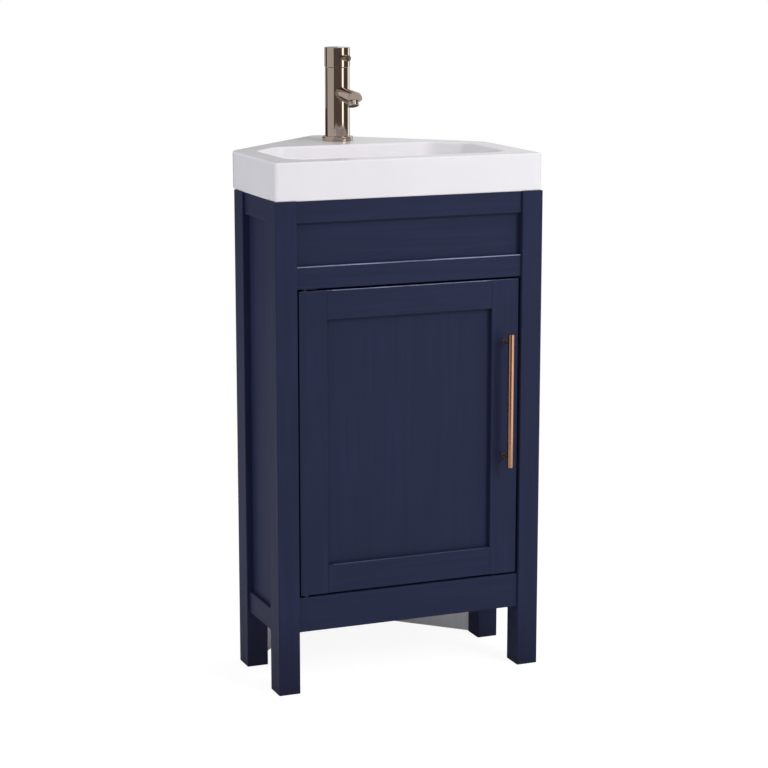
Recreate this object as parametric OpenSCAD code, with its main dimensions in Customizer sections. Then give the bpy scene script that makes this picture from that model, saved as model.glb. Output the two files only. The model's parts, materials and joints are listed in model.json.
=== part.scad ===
// Corner vanity unit: a cabinet with a house-shaped plan that stands in the corner of a room,
// with one inset door, a ceramic basin on top and a single-lever faucet.
// +X runs to the right along the front, +Y points into the corner of the room, +Z is up.
// The origin is the middle of the whole unit's footprint, on the floor.
// Heights are measured from the floor, and depths from the front faces of the legs.

/* [Cabinet] */
// Width across the front legs
cabinet_w = 460; // [440:1:500]
// Depth of each side, from the front of the front leg to the back of the rear leg
side_d = 202; // [190:1:240]
// Height of the cabinet, from the floor to the underside of the basin
cabinet_h = 800; // [770:1:860]

/* [Legs] */
// Width of a leg, seen from the front
leg_w = 36; // [32:1:40]
// Depth of a leg, seen from the side
leg_d = 42; // [38:1:46]
// Rounding of the legs' long edges
leg_edge_r = 1.5; // [0.5:0.5:3]

/* [Frame] */
// Thickness of the rails
rail_t = 18; // [16:0.5:20]
// Set-back of the rails and the door from the faces of the legs
rail_setback = 4.5; // [2:0.5:7]
// Rounding of the rails' outer edges
rail_edge_r = 1.5; // [0.5:0.5:3]
// Height of the front top rail
top_rail_h = 35; // [25:0.5:45]
// Height of the apron panel that shows between the top rail and the mid rail
apron_h = 68; // [50:0.5:90]
// Height of the front mid rail
mid_rail_h = 36; // [28:0.5:50]
// Height of the bottom rail's lower edge above the floor
bottom_rail_z = 101.5; // [90:0.5:112]
// Height of the front bottom rail
bottom_rail_h = 57.5; // [50:0.5:70]
// Height of the side top rails
side_top_rail_h = 36; // [28:0.5:50]
// Height of the side bottom rails' lower edge above the floor
side_bottom_rail_z = 95.5; // [85:0.5:100]
// Height of the side bottom rails
side_bottom_rail_h = 36; // [28:0.5:42]
// Length of the tenons on the rails, of the cabinet and of the door
tenon_l = 8; // [6:0.5:12]

/* [Panels] */
// Thickness of the apron panel and the side panels
panel_t = 9; // [6:0.5:10]
// Set-back of those panels behind the face of the rails
panel_recess = 7; // [4:0.5:7.5]
// Depth of the grooves that hold them
groove_d = 6; // [4:0.5:8]
// Thickness of the back panels
back_t = 18; // [15:0.5:20]
// Set-back of the back panels from the line of the rear legs
back_setback = 4.5; // [2:0.5:8]
// Width of the plumbing cut-out in each back panel
cutout_w = 150; // [120:1:180]
// Height of the plumbing cut-out
cutout_h = 300; // [200:1:340]
// Height of the cut-out's lower edge above the floor
cutout_z = 275; // [240:1:380]
// Rounding of the cut-out's corners
cutout_r = 20; // [8:1:30]

/* [Floor and post] */
// Thickness of the cabinet floor
floor_t = 15; // [12:0.5:18]
// Width and height of the cleats under the cabinet floor
cleat_s = 18; // [14:1:22]
// Width of the square post where the back panels meet
post_s = 28; // [22:1:36]

/* [Door] */
// Gap all round the door
door_gap = 3.5; // [3:0.1:4]
// Thickness of the door frame
door_t = 20; // [18:0.5:21]
// Width of the door stiles
door_stile_w = 47.5; // [40:0.5:60]
// Height of the door rails
door_rail_h = 47; // [40:0.5:60]
// Set-back of the door panel behind the door face
door_panel_recess = 8.5; // [5:0.5:9]
// Thickness of the door panel
door_panel_t = 8; // [6:0.5:9]
// Rounding of the door's edges
door_edge_r = 1; // [0.5:0.25:1.5]

/* [Handle] */
// Height of the handle's middle above the floor
handle_z = 459.5; // [400:0.5:500]
// Length of the handle bar
bar_l = 222; // [200:1:260]
// Radius of the handle bar
bar_r = 5; // [4:0.25:6.5]
// Distance from the door face to the bar's axis
bar_reach = 24.5; // [20:0.5:32]
// Distance between the two handle posts
post_pitch = 192; // [160:1:192]
// Radius of the handle posts
handle_post_r = 3.5; // [3:0.25:4]
// Radius of the handle screws
handle_screw_r = 2; // [1.5:0.25:2.25]

/* [Hinges] */
// Distance from the door's left edge to the hinge axis
hinge_in = 10; // [9:0.5:12]
// Distance from the door face back to the hinge axis
hinge_back = 8; // [7:0.5:9]
// Radius of the hinge pins
hinge_pin_r = 4; // [3:0.25:4.5]
// Running clearance round the hinge pins
hinge_fit = 0.05; // [0.02:0.01:0.1]
// Outer radius of the hinge bushes
bush_r = 5.75; // [5.25:0.25:6]
// Depth of the hinge bushes in the rails
bush_l = 14; // [10:0.5:18]
// Thickness of the flange on each bush
bush_flange_t = 1.2; // [0.8:0.1:1.4]
// End play between a pin's collar and its bush
hinge_play = 0.3; // [0.2:0.1:0.5]
// Depth of the hinge pins in the door
hinge_pin_depth = 30; // [20:1:40]

/* [Catch] */
// Distance from the top of the door down to the middle of the magnetic catch
catch_drop = 39.5; // [30:0.5:60]
// Height of the magnetic catch
catch_h = 46; // [40:1:52]
// Width of the magnetic catch
catch_w = 16; // [14:0.5:20]
// Depth of the magnetic catch
catch_d = 13; // [10:0.5:14]
// Thickness of the strike plate on the door
strike_t = 1.6; // [1:0.1:2]
// Gap between the strike plate and the closed catch
catch_gap = 0.3; // [0.2:0.1:0.5]

/* [Basin] */
// Height of the basin's apron
basin_h = 61; // [55:0.5:70]
// Set-back of the basin from the legs, at the front and the sides
basin_inset = 1.5; // [0.5:0.5:4]
// Distance that the basin stands out behind the cabinet, towards each wall
basin_overhang = 14; // [8:0.5:18]
// Thickness of the front and side apron walls
apron_wall_t = 14; // [10:0.5:18]
// Thickness of the apron walls along the room's walls
back_wall_t = 30; // [26:0.5:34]
// Thickness of the basin's deck
deck_t = 12; // [10:0.5:14]
// Rounding of the basin's two front corners
basin_corner_r = 6; // [3:0.5:10]
// Rounding of the two corners where the basin's sides meet its back
basin_rear_r = 50; // [30:1:70]
// Rounding of the basin's corner at the room's corner
apex_r = 20; // [10:1:30]
// Rounding of the basin's top and bottom edges
basin_edge_r = 2.5; // [1.5:0.5:4]
// Width of the rim between the basin's edge and the bowl
bowl_rim = 40.5; // [38:0.5:46]
// Distance from the basin's front to the bowl's rear edge
bowl_d = 253.5; // [235:0.5:262]
// Depth of the bowl
bowl_depth = 110; // [95:1:118]
// Rounding of the bowl's corners in plan
bowl_corner_r = 34; // [24:1:40]
// Rounding between the bowl's walls and its bottom
bowl_fillet_r = 45; // [30:1:52]
// Rounding of the bowl's lip
bowl_lip_r = 4; // [2:0.5:6]
// Slope of the bowl's walls, in degrees from upright
bowl_draft = 8; // [4:0.5:12]
// Thickness of the bowl's shell
bowl_wall_t = 9; // [7:0.5:11]
// Fall of the bowl's bottom towards the drain
bowl_fall = 2.5; // [1:0.5:5]

/* [Drain] */
// Distance from the basin's front to the drain
drain_d = 138; // [128:0.5:146]
// Radius of the drain's flange
drain_flange_r = 32; // [30:0.5:34]
// Thickness of the drain's flange
drain_flange_t = 3; // [2:0.25:4]
// Outer radius of the drain's threaded body
drain_body_r = 22; // [20.5:0.25:22.5]
// Clearance between the drain body and the hole in the basin
drain_hole_gap = 1; // [0.5:0.25:1.5]
// Inner radius of the drain body
drain_bore_r = 16.5; // [15.5:0.25:17]
// Length of the drain body below the flange
drain_body_l = 62; // [56:1:75]
// Thickness of the rubber gasket under the basin
gasket_t = 6; // [4:0.5:8]
// Thickness of the drain's locknut
locknut_t = 10; // [8:0.5:13]
// Outer radius of the tailpiece
tailpiece_r = 15.875; // [14:0.125:16]
// Wall of the tailpiece
tailpiece_wall = 1.2; // [1:0.1:2]
// Outer radius of the tailpiece's threaded top
tailpiece_thread_r = 18; // [17.5:0.25:18.5]
// Depth of the tailpiece's thread in the drain body
tailpiece_thread_l = 12; // [8:0.5:15]
// Length of the tailpiece below the drain body
tailpiece_l = 100; // [60:1:120]
// Radius of the pop-up stopper
stopper_r = 27; // [24:0.5:29]
// Radius of the stopper's stem
stopper_stem_r = 4; // [3:0.25:5]
// Length of the stopper's stem
stopper_stem_l = 48; // [46:1:50]
// Travel of the pop-up stopper
stopper_travel = 8; // [5:0.5:10]
// Running clearance round the stopper's stem
stopper_fit = 0.08; // [0.05:0.01:0.1]

/* [Faucet] */
// Distance from the basin's front to the faucet's axis
faucet_d = 329.5; // [318:0.5:336]
// Radius of the base ring
base_ring_r = 26.5; // [24:0.5:30]
// Height of the base ring
base_ring_h = 8; // [5:0.5:10]
// Radius of the faucet body
faucet_r = 21; // [19:0.25:23]
// Height of the gap between the faucet's body and its cap, above the deck
faucet_h = 125; // [118:0.5:135]
// Gap between the faucet's body and its cap
cap_gap = 0.9; // [0.5:0.1:0.9]
// Radius of the cap
cap_r = 21.75; // [20:0.25:24]
// Height of the cap
cap_h = 33; // [28:0.5:40]
// Angle that the cap lifts by, which sets the relief under its rear
cap_lift = 18; // [12:1:20]
// Height of the tilting axis above the bottom of the cap
cap_pivot_z = 5; // [4:0.5:6]
// Depth of the hollow in the cap
cap_hollow_h = 12.5; // [12.5:0.5:16]
// Wall of the cap round its hollow
cap_wall = 3; // [2:0.25:4]
// Distance from the faucet's axis to the end of the pin lever
lever_reach = 51.5; // [45:0.5:60]
// Height of the pin lever above the bottom of the cap
lever_z = 16.5; // [13:0.5:20]
// Radius of the pin lever at its end
lever_r = 5; // [4:0.25:6]
// Radius of the pin lever at the cap
lever_root_r = 3.75; // [3:0.25:4]
// Radius that the spout has at the faucet's axis, before it widens to its end
spout_root_r = 10; // [9:0.25:11]
// Radius of the spout at its end
spout_r = 13.25; // [12.5:0.25:14]
// Height of the spout's axis above the deck, at the faucet's axis
spout_z = 83.75; // [78:0.25:90]
// Slope of the spout, in degrees downwards
spout_slope = 6; // [4:0.5:9]
// Distance from the faucet's axis to the middle of the spout's end face
spout_reach = 83; // [80:0.5:88]
// Slope of the cut under the spout's end, in degrees from level
mouth_slope = 27; // [22:1:29]
// Distance from the faucet's axis to the middle of the aerator's outlet
aerator_reach = 75.5; // [73:0.5:76]
// Height of the aerator's outlet above the deck
aerator_z = 63.75; // [62:0.25:66]
// Radius of the aerator
aerator_r = 10; // [8:0.25:10.25]
// Length of the aerator
aerator_l = 14; // [12:0.5:16]
// Tilt of the aerator, in degrees forwards from upright
aerator_tilt = 22; // [18:1:26]
// Radius of the cartridge
cartridge_r = 17; // [15:0.25:18]
// Height of the cartridge
cartridge_h = 36; // [28:1:44]
// Radius of the turning neck
neck_r = 12; // [11:0.25:12]
// Width of the tilting stem
stem_w = 9; // [7:0.5:10]
// Radius of the stem's pin
stem_pin_r = 2; // [1.5:0.25:2.5]
// Running clearance of the neck and of the stem's pin
faucet_fit = 0.05; // [0.02:0.01:0.1]
// Radius of the threaded shank
shank_r = 15; // [14:0.25:16]
// Length of the shank below the deck's surface
shank_l = 58; // [50:1:75]
// Radius of the two supply ports in the shank
port_r = 4.5; // [3.5:0.25:4.75]
// Distance between the two supply ports
port_pitch = 13; // [12:0.5:14]
// Depth of the supply ports
port_l = 20; // [14:1:30]
// Thickness of the washer under the deck
washer_t = 3; // [2:0.25:4]
// Thickness of the nut under the deck
nut_t = 8; // [6:0.5:12]

/* [Hidden] */
$fn = 64;

// A cut runs past the surface that it opens by this much
past = 1;
// Pieces of an arc at each rounded corner of an outline
corner_steps = 6;
root2 = sqrt(2);

navy = [0.15, 0.17, 0.27];
raw_board = [0.78, 0.77, 0.75];
white_glaze = [0.95, 0.95, 0.95];
nickel = [0.62, 0.57, 0.52];
bronze = [0.72, 0.48, 0.34];
steel = [0.70, 0.71, 0.72];
brass = [0.80, 0.65, 0.35];
plastic_white = [0.90, 0.90, 0.88];
rubber_black = [0.10, 0.10, 0.10];

// Plan: x + depth is the same all along a wall that runs at 45 degrees
leg_x = cabinet_w / 2 - leg_w;                       // inner face of a leg
wall_sum = cabinet_w / 2 + side_d;                   // line of the rear legs' outer corners
back_out_sum = wall_sum - back_setback * root2;      // outer face of a back panel
back_in_sum = back_out_sum - back_t * root2;         // inner face of a back panel
basin_w = cabinet_w - 2 * basin_inset;
basin_sum = wall_sum + basin_overhang * root2;       // face of the basin against the wall
apex_depth = basin_sum - apex_r * (root2 - 1);       // rounded tip of the basin
handle_front = bar_reach + bar_r - rail_setback;     // how far the handle stands out
front_y = (handle_front - apex_depth) / 2;           // legs' front faces in the part's frame

// Front, from the legs' front faces backwards
rail_face_y = front_y + rail_setback;
rail_back_y = rail_face_y + rail_t;
panel_face_y = rail_face_y + panel_recess;
side_rail_x = cabinet_w / 2 - rail_setback;
side_panel_x = side_rail_x - panel_recess;

// Heights of the front
top_rail_z = cabinet_h - top_rail_h;
mid_rail_z = top_rail_z - apron_h - mid_rail_h;
opening_z = bottom_rail_z + bottom_rail_h;
side_top_rail_z = cabinet_h - side_top_rail_h;
floor_z = side_bottom_rail_z + side_bottom_rail_h;

// Door
door_x = leg_x - door_gap;
door_z = opening_z + door_gap;
door_top_z = mid_rail_z - door_gap;
door_back_y = rail_face_y + door_t;
door_panel_x = door_x - door_stile_w;
door_panel_y = rail_face_y + door_panel_recess;
hinge_x = hinge_in - door_x;
hinge_y = rail_face_y + hinge_back;
collar_r = hinge_pin_r + 3;                          // collar on each hinge pin
collar_t = door_gap - bush_flange_t - hinge_play;
pin_end_gap = 2;                                     // between a pin's end and the end of its bush
handle_x = door_x - door_stile_w / 2;
bar_y = rail_face_y - bar_reach;
handle_screw_grip = 10;                              // length of a handle screw in its post
handle_screw_head_r = handle_screw_r + 2;
handle_screw_head_h = 2.5;
catch_y = door_back_y + strike_t + catch_gap;
catch_z = door_top_z - catch_drop;
catch_screw_pitch = catch_h - 16;
catch_screw_grip = 12;                               // length of a catch screw in the leg
catch_screw_r = 1.75;
catch_screw_head_r = 3.5;
catch_screw_head_h = 2.5;
strike_margin = 3;                                   // by which the strike is lower than the catch

// Basin
basin_y = front_y + basin_inset;
deck_z = cabinet_h + basin_h;
bowl_x = basin_w / 2 - bowl_rim;
bowl_front_y = basin_y + bowl_rim;
bowl_back_y = basin_y + bowl_d;
bowl_sum = basin_sum - bowl_rim * root2;
bowl_wall_d = bowl_depth - bowl_fillet_r;            // depth of the bowl's sloping walls
bowl_low_z = deck_z - bowl_depth - bowl_fall;
basin_foot_z = bowl_low_z - bowl_wall_t;

// Drain
drain_y = basin_y + drain_d;
drain_low_z = bowl_low_z - drain_body_l;
tailpiece_z = drain_low_z - tailpiece_l;
stopper_z = bowl_low_z + drain_flange_t;
guide_z = drain_low_z + 24;                          // spider that guides the stopper's stem
guide_t = 5;
guide_hub_t = 3;
guide_spoke_t = 2.5;
stopper_edge_t = 2;
stopper_dome_h = 5;

// Faucet
faucet_y = basin_y + faucet_d;
body_z = deck_z + base_ring_h;
body_top_z = deck_z + faucet_h - cap_gap / 2;
cap_z = body_top_z + cap_gap;
pivot_z = cap_z + cap_pivot_z;
cartridge_top_z = body_top_z - 2;
cartridge_z = cartridge_top_z - cartridge_h;
neck_gap = 0.3;                                      // between the neck and the cartridge's top
neck_top_z = pivot_z + stem_pin_r + 1.2;
spigot_r = neck_r - 3;                               // the neck's lower end, inside the cartridge
spigot_h = 10;
stem_play = 0.2;                                     // on each side of the stem in the neck's slot
stem_grip = 8;                                       // height of the stem's socket in the cap
stem_top_z = cap_z + cap_hollow_h + stem_grip;
cap_screw_r = 2.5;
cap_screw_z = cap_z + cap_hollow_h + 5;
lever_root_y = cap_r - 10;                           // where the lever starts, inside the cap
shank_gap = 2;                                       // round the shank, in the deck
waterway_r = 5;                                      // waterway in the spout
washer_z = deck_z - deck_t - washer_t;
nut_z = washer_z - nut_t;
shank_z = deck_z - shank_l;

// ---- Outlines ----

function unit(v) = v / norm(v);
function arc_between(centre, r, a, turn, steps) =
    [for (i = [0 : steps]) centre + r * [cos(a + turn * i / steps), sin(a + turn * i / steps)]];
// The arc that rounds the corner q between its neighbours p and s
function corner_arc(p, q, s, r) =
    let (
        a = unit(p - q),
        b = unit(s - q),
        half = acos(a * b) / 2,
        centre = q + unit(a + b) * r / sin(half),
        start = q + a * r / tan(half) - centre,
        end = q + b * r / tan(half) - centre,
        from = atan2(start[1], start[0]),
        turn = (atan2(end[1], end[0]) - from + 540) % 360 - 180
    )
    r <= 0 ? [q] : arc_between(centre, r, from, turn, corner_steps);
// An outline with each corner rounded by its own radius
function rounded(points, radii) =
    let (n = len(points))
    [for (i = [0 : n - 1]) each
        corner_arc(points[(i + n - 1) % n], points[i], points[(i + 1) % n], radii[i])];
function rectangle(x0, y0, x1, y1) = [[x0, y0], [x1, y0], [x1, y1], [x0, y1]];
// The right half of an outline, from front to back, and its mirror image
function with_mirror(right) =
    concat(right, [for (i = [len(right) - 1 : -1 : 0]) if (right[i][0] != 0) [-right[i][0], right[i][1]]]);

module on_side(side) {
    mirror([side < 0 ? 1 : 0, 0, 0]) children();
}
// A block between two corners
module block(low, high) {
    translate(low) cube(high - low);
}
// An outline in Y and Z, drawn from x0 to x1
module along_x(x0, x1) {
    translate([x0, 0, 0]) rotate([90, 0, 90]) linear_extrude(x1 - x0) children();
}
// An outline in X and Z, drawn from y0 to y1
module along_y(y0, y1) {
    translate([0, y1, 0]) rotate([90, 0, 0]) linear_extrude(y1 - y0) children();
}
// An upright cylinder between two heights
module column(x, y, z0, z1, r) {
    translate([x, y, z0]) cylinder(h = z1 - z0, r = r);
}
// A level cylinder that points to the back, from y0 to y1
module rod_y(x, z, y0, y1, r) {
    translate([x, y1, z]) rotate([90, 0, 0]) cylinder(h = y1 - y0, r = r);
}

// ---- Legs and frame ----

module leg(side, depth) {
    on_side(side) linear_extrude(cabinet_h)
        polygon(rounded(
            rectangle(leg_x, front_y + depth, cabinet_w / 2, front_y + depth + leg_d),
            [leg_edge_r, leg_edge_r, leg_edge_r, leg_edge_r]
        ));
}
module front_leg(side) {
    difference() {
        leg(side, 0);
        apron_panel();
        side_panel(side);
        front_tenon(top_rail_z, top_rail_h);
        front_tenon(mid_rail_z, mid_rail_h);
        front_tenon(bottom_rail_z, bottom_rail_h);
        side_tenons(side);
    }
}
module rear_leg(side) {
    difference() {
        leg(side, side_d - leg_d);
        side_panel(side);
        side_tenons(side);
    }
}
module front_left_leg() {
    color(navy) front_leg(-1);
}
module front_right_leg() {
    color(navy) difference() {
        front_leg(1);
        catch_screw_blanks();
    }
}
module rear_left_leg() {
    color(navy) rear_leg(-1);
}
module rear_right_leg() {
    color(navy) rear_leg(1);
}

// The tenons at both ends of a front rail, as one bar in line with the groove for the apron panel
module front_tenon(z, h) {
    block(
        [-leg_x - tenon_l, panel_face_y, z + groove_d],
        [leg_x + tenon_l, panel_face_y + panel_t, z + h - groove_d]
    );
}
// A rail across the front between the legs, with its outer edges rounded
module front_rail(z, h) {
    along_x(-leg_x, leg_x)
        polygon(rounded(
            rectangle(rail_face_y, z, rail_back_y, z + h),
            [rail_edge_r, 0, 0, rail_edge_r]
        ));
    front_tenon(z, h);
}
module top_rail() {
    color(navy) difference() {
        front_rail(top_rail_z, top_rail_h);
        apron_panel();
    }
}
module apron_panel() {
    color(navy) block(
        [-leg_x - groove_d, panel_face_y, mid_rail_z + mid_rail_h - groove_d],
        [leg_x + groove_d, panel_face_y + panel_t, top_rail_z + groove_d]
    );
}
module mid_rail() {
    color(navy) difference() {
        front_rail(mid_rail_z, mid_rail_h);
        apron_panel();
        bush_blank(mid_rail_z, 1);
    }
}
module bottom_rail() {
    color(navy) difference() {
        front_rail(bottom_rail_z, bottom_rail_h);
        bush_blank(opening_z, -1);
    }
}

module side_tenon(side, z, h) {
    on_side(side) block(
        [side_panel_x - panel_t, front_y + leg_d - tenon_l, z + groove_d],
        [side_panel_x, front_y + side_d - leg_d + tenon_l, z + h - groove_d]
    );
}
module side_tenons(side) {
    side_tenon(side, side_top_rail_z, side_top_rail_h);
    side_tenon(side, side_bottom_rail_z, side_bottom_rail_h);
}
// A rail along one side between the front and the rear leg
module side_rail(side, z, h) {
    difference() {
        union() {
            on_side(side) along_y(front_y + leg_d, front_y + side_d - leg_d)
                polygon(rounded(
                    rectangle(side_rail_x - rail_t, z, side_rail_x, z + h),
                    [0, rail_edge_r, rail_edge_r, 0]
                ));
            side_tenon(side, z, h);
        }
        side_panel(side);
    }
}
module side_panel(side) {
    on_side(side) block(
        [side_panel_x - panel_t, front_y + leg_d - groove_d, floor_z - groove_d],
        [side_panel_x, front_y + side_d - leg_d + groove_d, side_top_rail_z + groove_d]
    );
}
module left_side_top_rail() {
    color(navy) side_rail(-1, side_top_rail_z, side_top_rail_h);
}
module right_side_top_rail() {
    color(navy) side_rail(1, side_top_rail_z, side_top_rail_h);
}
module left_side_bottom_rail() {
    color(navy) side_rail(-1, side_bottom_rail_z, side_bottom_rail_h);
}
module right_side_bottom_rail() {
    color(navy) side_rail(1, side_bottom_rail_z, side_bottom_rail_h);
}
module left_side_panel() {
    color(navy) side_panel(-1);
}
module right_side_panel() {
    color(navy) side_panel(1);
}

// ---- Back, post and cabinet floor ----

// A back panel stands on the floor, between the rear leg and the mitre in the corner
module back_panel(side) {
    middle = (back_in_sum - side_d) / 2;
    on_side(side) difference() {
        translate([0, front_y, 0]) linear_extrude(cabinet_h)
            polygon([
                [0, back_in_sum],
                [back_in_sum - side_d, side_d],
                [back_out_sum - side_d, side_d],
                [0, back_out_sum]
            ]);
        translate([middle, front_y + back_in_sum - middle, 0]) rotate([0, 0, -45])
            along_y(-past, back_t + past)
                polygon(rounded(
                    rectangle(-cutout_w / 2, cutout_z, cutout_w / 2, cutout_z + cutout_h),
                    [cutout_r, cutout_r, cutout_r, cutout_r]
                ));
    }
}
module left_back_panel() {
    color(raw_board) back_panel(-1);
}
module right_back_panel() {
    color(raw_board) back_panel(1);
}
module back_corner_post() {
    color(raw_board) translate([0, front_y + back_in_sum, 0]) rotate([0, 0, -135])
        cube([post_s, post_s, cabinet_h]);
}
module cabinet_floor() {
    post_half = post_s / root2;
    floor_x = side_panel_x - panel_t;
    right = [
        [leg_x, rail_setback + rail_t],
        [leg_x, leg_d],
        [floor_x, leg_d],
        [floor_x, side_d - leg_d],
        [leg_x, side_d - leg_d],
        [leg_x, back_in_sum - leg_x],
        [post_half, back_in_sum - post_half],
        [0, back_in_sum - 2 * post_half]
    ];
    color(raw_board) translate([0, front_y, floor_z]) linear_extrude(floor_t)
        polygon(with_mirror(right));
}
// Cleats under the cabinet floor: one along the front, one on each side and one on each back panel
module floor_cleats() {
    post_half = post_s / root2;
    far = back_in_sum - side_d - cleat_s;
    side_in = side_rail_x - rail_t;
    low = floor_z - cleat_s;
    color(raw_board) {
        block([-leg_x, rail_back_y, low], [leg_x, rail_back_y + cleat_s, floor_z]);
        for (side = [-1, 1]) on_side(side) {
            block(
                [side_in - cleat_s, front_y + leg_d, low],
                [side_in, front_y + side_d - leg_d, floor_z]
            );
            translate([post_half, front_y + back_in_sum - post_half, low]) rotate([0, 0, -45])
                translate([0, -cleat_s, 0]) cube([(far - post_half) * root2, cleat_s, cleat_s]);
        }
    }
}

// ---- Hinges and catch ----

// The outside of a hinge bush, with its flange in the gap; up is 1 above the door and -1 below it
module bush_blank(z, up) {
    translate([hinge_x, hinge_y, z]) mirror([0, 0, up < 0 ? 1 : 0]) {
        cylinder(h = bush_l, r = bush_r);
        translate([0, 0, -bush_flange_t]) cylinder(h = bush_flange_t, r = collar_r);
    }
}
module hinge_bush(z, up) {
    difference() {
        bush_blank(z, up);
        column(hinge_x, hinge_y, z - bush_l - past, z + bush_l + past, hinge_pin_r + hinge_fit);
    }
}
module upper_hinge_bush() {
    color(brass) hinge_bush(mid_rail_z, 1);
}
module lower_hinge_bush() {
    color(brass) hinge_bush(opening_z, -1);
}
// A hinge pin pressed into the door's edge, with a collar that keeps the door off the rail
module hinge_pin(z, up) {
    translate([hinge_x, hinge_y, z]) mirror([0, 0, up < 0 ? 1 : 0]) {
        translate([0, 0, -hinge_pin_depth])
            cylinder(h = hinge_pin_depth + door_gap + bush_l - pin_end_gap, r = hinge_pin_r);
        cylinder(h = collar_t, r = collar_r);
    }
}
module upper_hinge_pin() {
    color(steel) hinge_pin(door_top_z, 1);
}
module lower_hinge_pin() {
    color(steel) hinge_pin(door_z, -1);
}
module magnetic_catch() {
    color(plastic_white) difference() {
        block(
            [leg_x - catch_w, catch_y, catch_z - catch_h / 2],
            [leg_x, catch_y + catch_d, catch_z + catch_h / 2]
        );
        catch_screw_blanks();
    }
}
// Two screws that run through the catch into the leg, with their heads sunk in the catch
module catch_screw_blanks() {
    for (up = [-1, 1])
        translate([leg_x - catch_w, catch_y + catch_d / 2, catch_z + up * catch_screw_pitch / 2])
            rotate([0, 90, 0]) {
                cylinder(h = catch_w + catch_screw_grip, r = catch_screw_r);
                cylinder(h = catch_screw_head_h, r1 = catch_screw_head_r, r2 = catch_screw_r);
            }
}
module catch_screws() {
    color(steel) catch_screw_blanks();
}
module catch_strike() {
    color(steel) block(
        [leg_x - catch_w, door_back_y, catch_z - catch_h / 2 + strike_margin],
        [door_x - door_edge_r, door_back_y + strike_t, catch_z + catch_h / 2 - strike_margin]
    );
}

// ---- Door ----

// A stile on one side, from the bottom to the top of the door
module door_stile(side) {
    difference() {
        on_side(side) translate([0, 0, door_z]) linear_extrude(door_top_z - door_z)
            polygon(rounded(
                rectangle(door_panel_x, rail_face_y, door_x, door_back_y),
                [door_edge_r, door_edge_r, 0, 0]
            ));
        door_panel();
        door_tenon(door_z);
        door_tenon(door_top_z - door_rail_h);
    }
}
module door_left_stile() {
    color(navy) difference() {
        door_stile(-1);
        hinge_pin(door_top_z, 1);
        hinge_pin(door_z, -1);
    }
}
module door_right_stile() {
    color(navy) difference() {
        door_stile(1);
        handle_screw_blanks();
    }
}
// The tenons at both ends of a door rail, as one bar in line with the groove for the door panel
module door_tenon(z) {
    block(
        [-door_panel_x - tenon_l, door_panel_y, z + groove_d],
        [door_panel_x + tenon_l, door_panel_y + door_panel_t, z + door_rail_h - groove_d]
    );
}
module door_rail(z) {
    difference() {
        union() {
            along_x(-door_panel_x, door_panel_x)
                polygon(rounded(
                    rectangle(rail_face_y, z, door_back_y, z + door_rail_h),
                    [door_edge_r, 0, 0, door_edge_r]
                ));
            door_tenon(z);
        }
        door_panel();
    }
}
module door_top_rail() {
    color(navy) door_rail(door_top_z - door_rail_h);
}
module door_bottom_rail() {
    color(navy) door_rail(door_z);
}
module door_panel() {
    color(navy) block(
        [-door_panel_x - groove_d, door_panel_y, door_z + door_rail_h - groove_d],
        [door_panel_x + groove_d, door_panel_y + door_panel_t, door_top_z - door_rail_h + groove_d]
    );
}

// ---- Handle ----

module handle_bar() {
    color(bronze) column(handle_x, bar_y, handle_z - bar_l / 2, handle_z + bar_l / 2, bar_r);
}
module handle_posts() {
    color(bronze) difference() {
        for (up = [-1, 1])
            rod_y(handle_x, handle_z + up * post_pitch / 2, bar_y, rail_face_y, handle_post_r);
        handle_bar();
        handle_screw_blanks();
    }
}
// Screws from the inside of the door into the posts, with pan heads
module handle_screw_blanks() {
    for (up = [-1, 1]) {
        z = handle_z + up * post_pitch / 2;
        rod_y(handle_x, z, rail_face_y - handle_screw_grip, door_back_y, handle_screw_r);
        rod_y(handle_x, z, door_back_y, door_back_y + handle_screw_head_h, handle_screw_head_r);
    }
}
module handle_screws() {
    color(steel) handle_screw_blanks();
}

// ---- Basin ----

// Outline of the basin, drawn in by inset
function basin_ring(inset) =
    let (
        x = basin_w / 2 - inset,
        sum = basin_sum - inset * root2,
        corner = max(basin_corner_r - inset, 0.5),
        rear = basin_rear_r - inset
    )
    rounded(
        with_mirror([[x, basin_y + inset], [x, front_y + sum - x], [0, front_y + sum]]),
        [corner, rear, apex_r - inset, rear, corner]
    );
// Outline of the bowl, drawn in by inset: it follows the basin's sides, and its rear edge
// leaves a deck for the faucet
function bowl_ring(inset) =
    let (
        x = bowl_x - inset,
        back = bowl_back_y - inset,
        sum = bowl_sum - inset * root2
    )
    rounded(
        with_mirror([[x, bowl_front_y + inset], [x, front_y + sum - x], [front_y + sum - back, back]]),
        [for (i = [1 : 6]) max(bowl_corner_r - inset, 8)]
    );
// A closed solid through a stack of rings, from low to high; each ring is its height and its outline
module loft(rings) {
    n = len(rings[0][1]);
    top = (len(rings) - 1) * n;
    polyhedron(
        points = [for (ring = rings) for (p = ring[1]) [p[0], p[1], ring[0]]],
        faces = concat(
            [[for (i = [0 : n - 1]) i], [for (i = [n - 1 : -1 : 0]) top + i]],
            [for (k = [0 : n : top - n]) for (i = [0 : n - 1])
                [k + i, k + n + i, k + n + (i + 1) % n, k + (i + 1) % n]]
        )
    );
}
module basin_block() {
    loft(concat(
        [for (a = [0 : 30 : 90])
            [cabinet_h + basin_edge_r * (1 - cos(a)), basin_ring(basin_edge_r * (1 - sin(a)))]],
        [for (a = [90 : -30 : 0])
            [deck_z - basin_edge_r * (1 - cos(a)), basin_ring(basin_edge_r * (1 - sin(a)))]]
    ));
}
// The hollow underside, open below, which leaves the apron walls and the deck
module basin_underside() {
    x = basin_w / 2 - apron_wall_t;
    sum = basin_sum - back_wall_t * root2;
    translate([0, front_y, cabinet_h - past]) linear_extrude(basin_h - deck_t + past)
        polygon(with_mirror([[x, basin_inset + apron_wall_t], [x, sum - x], [0, sum]]));
}
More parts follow.
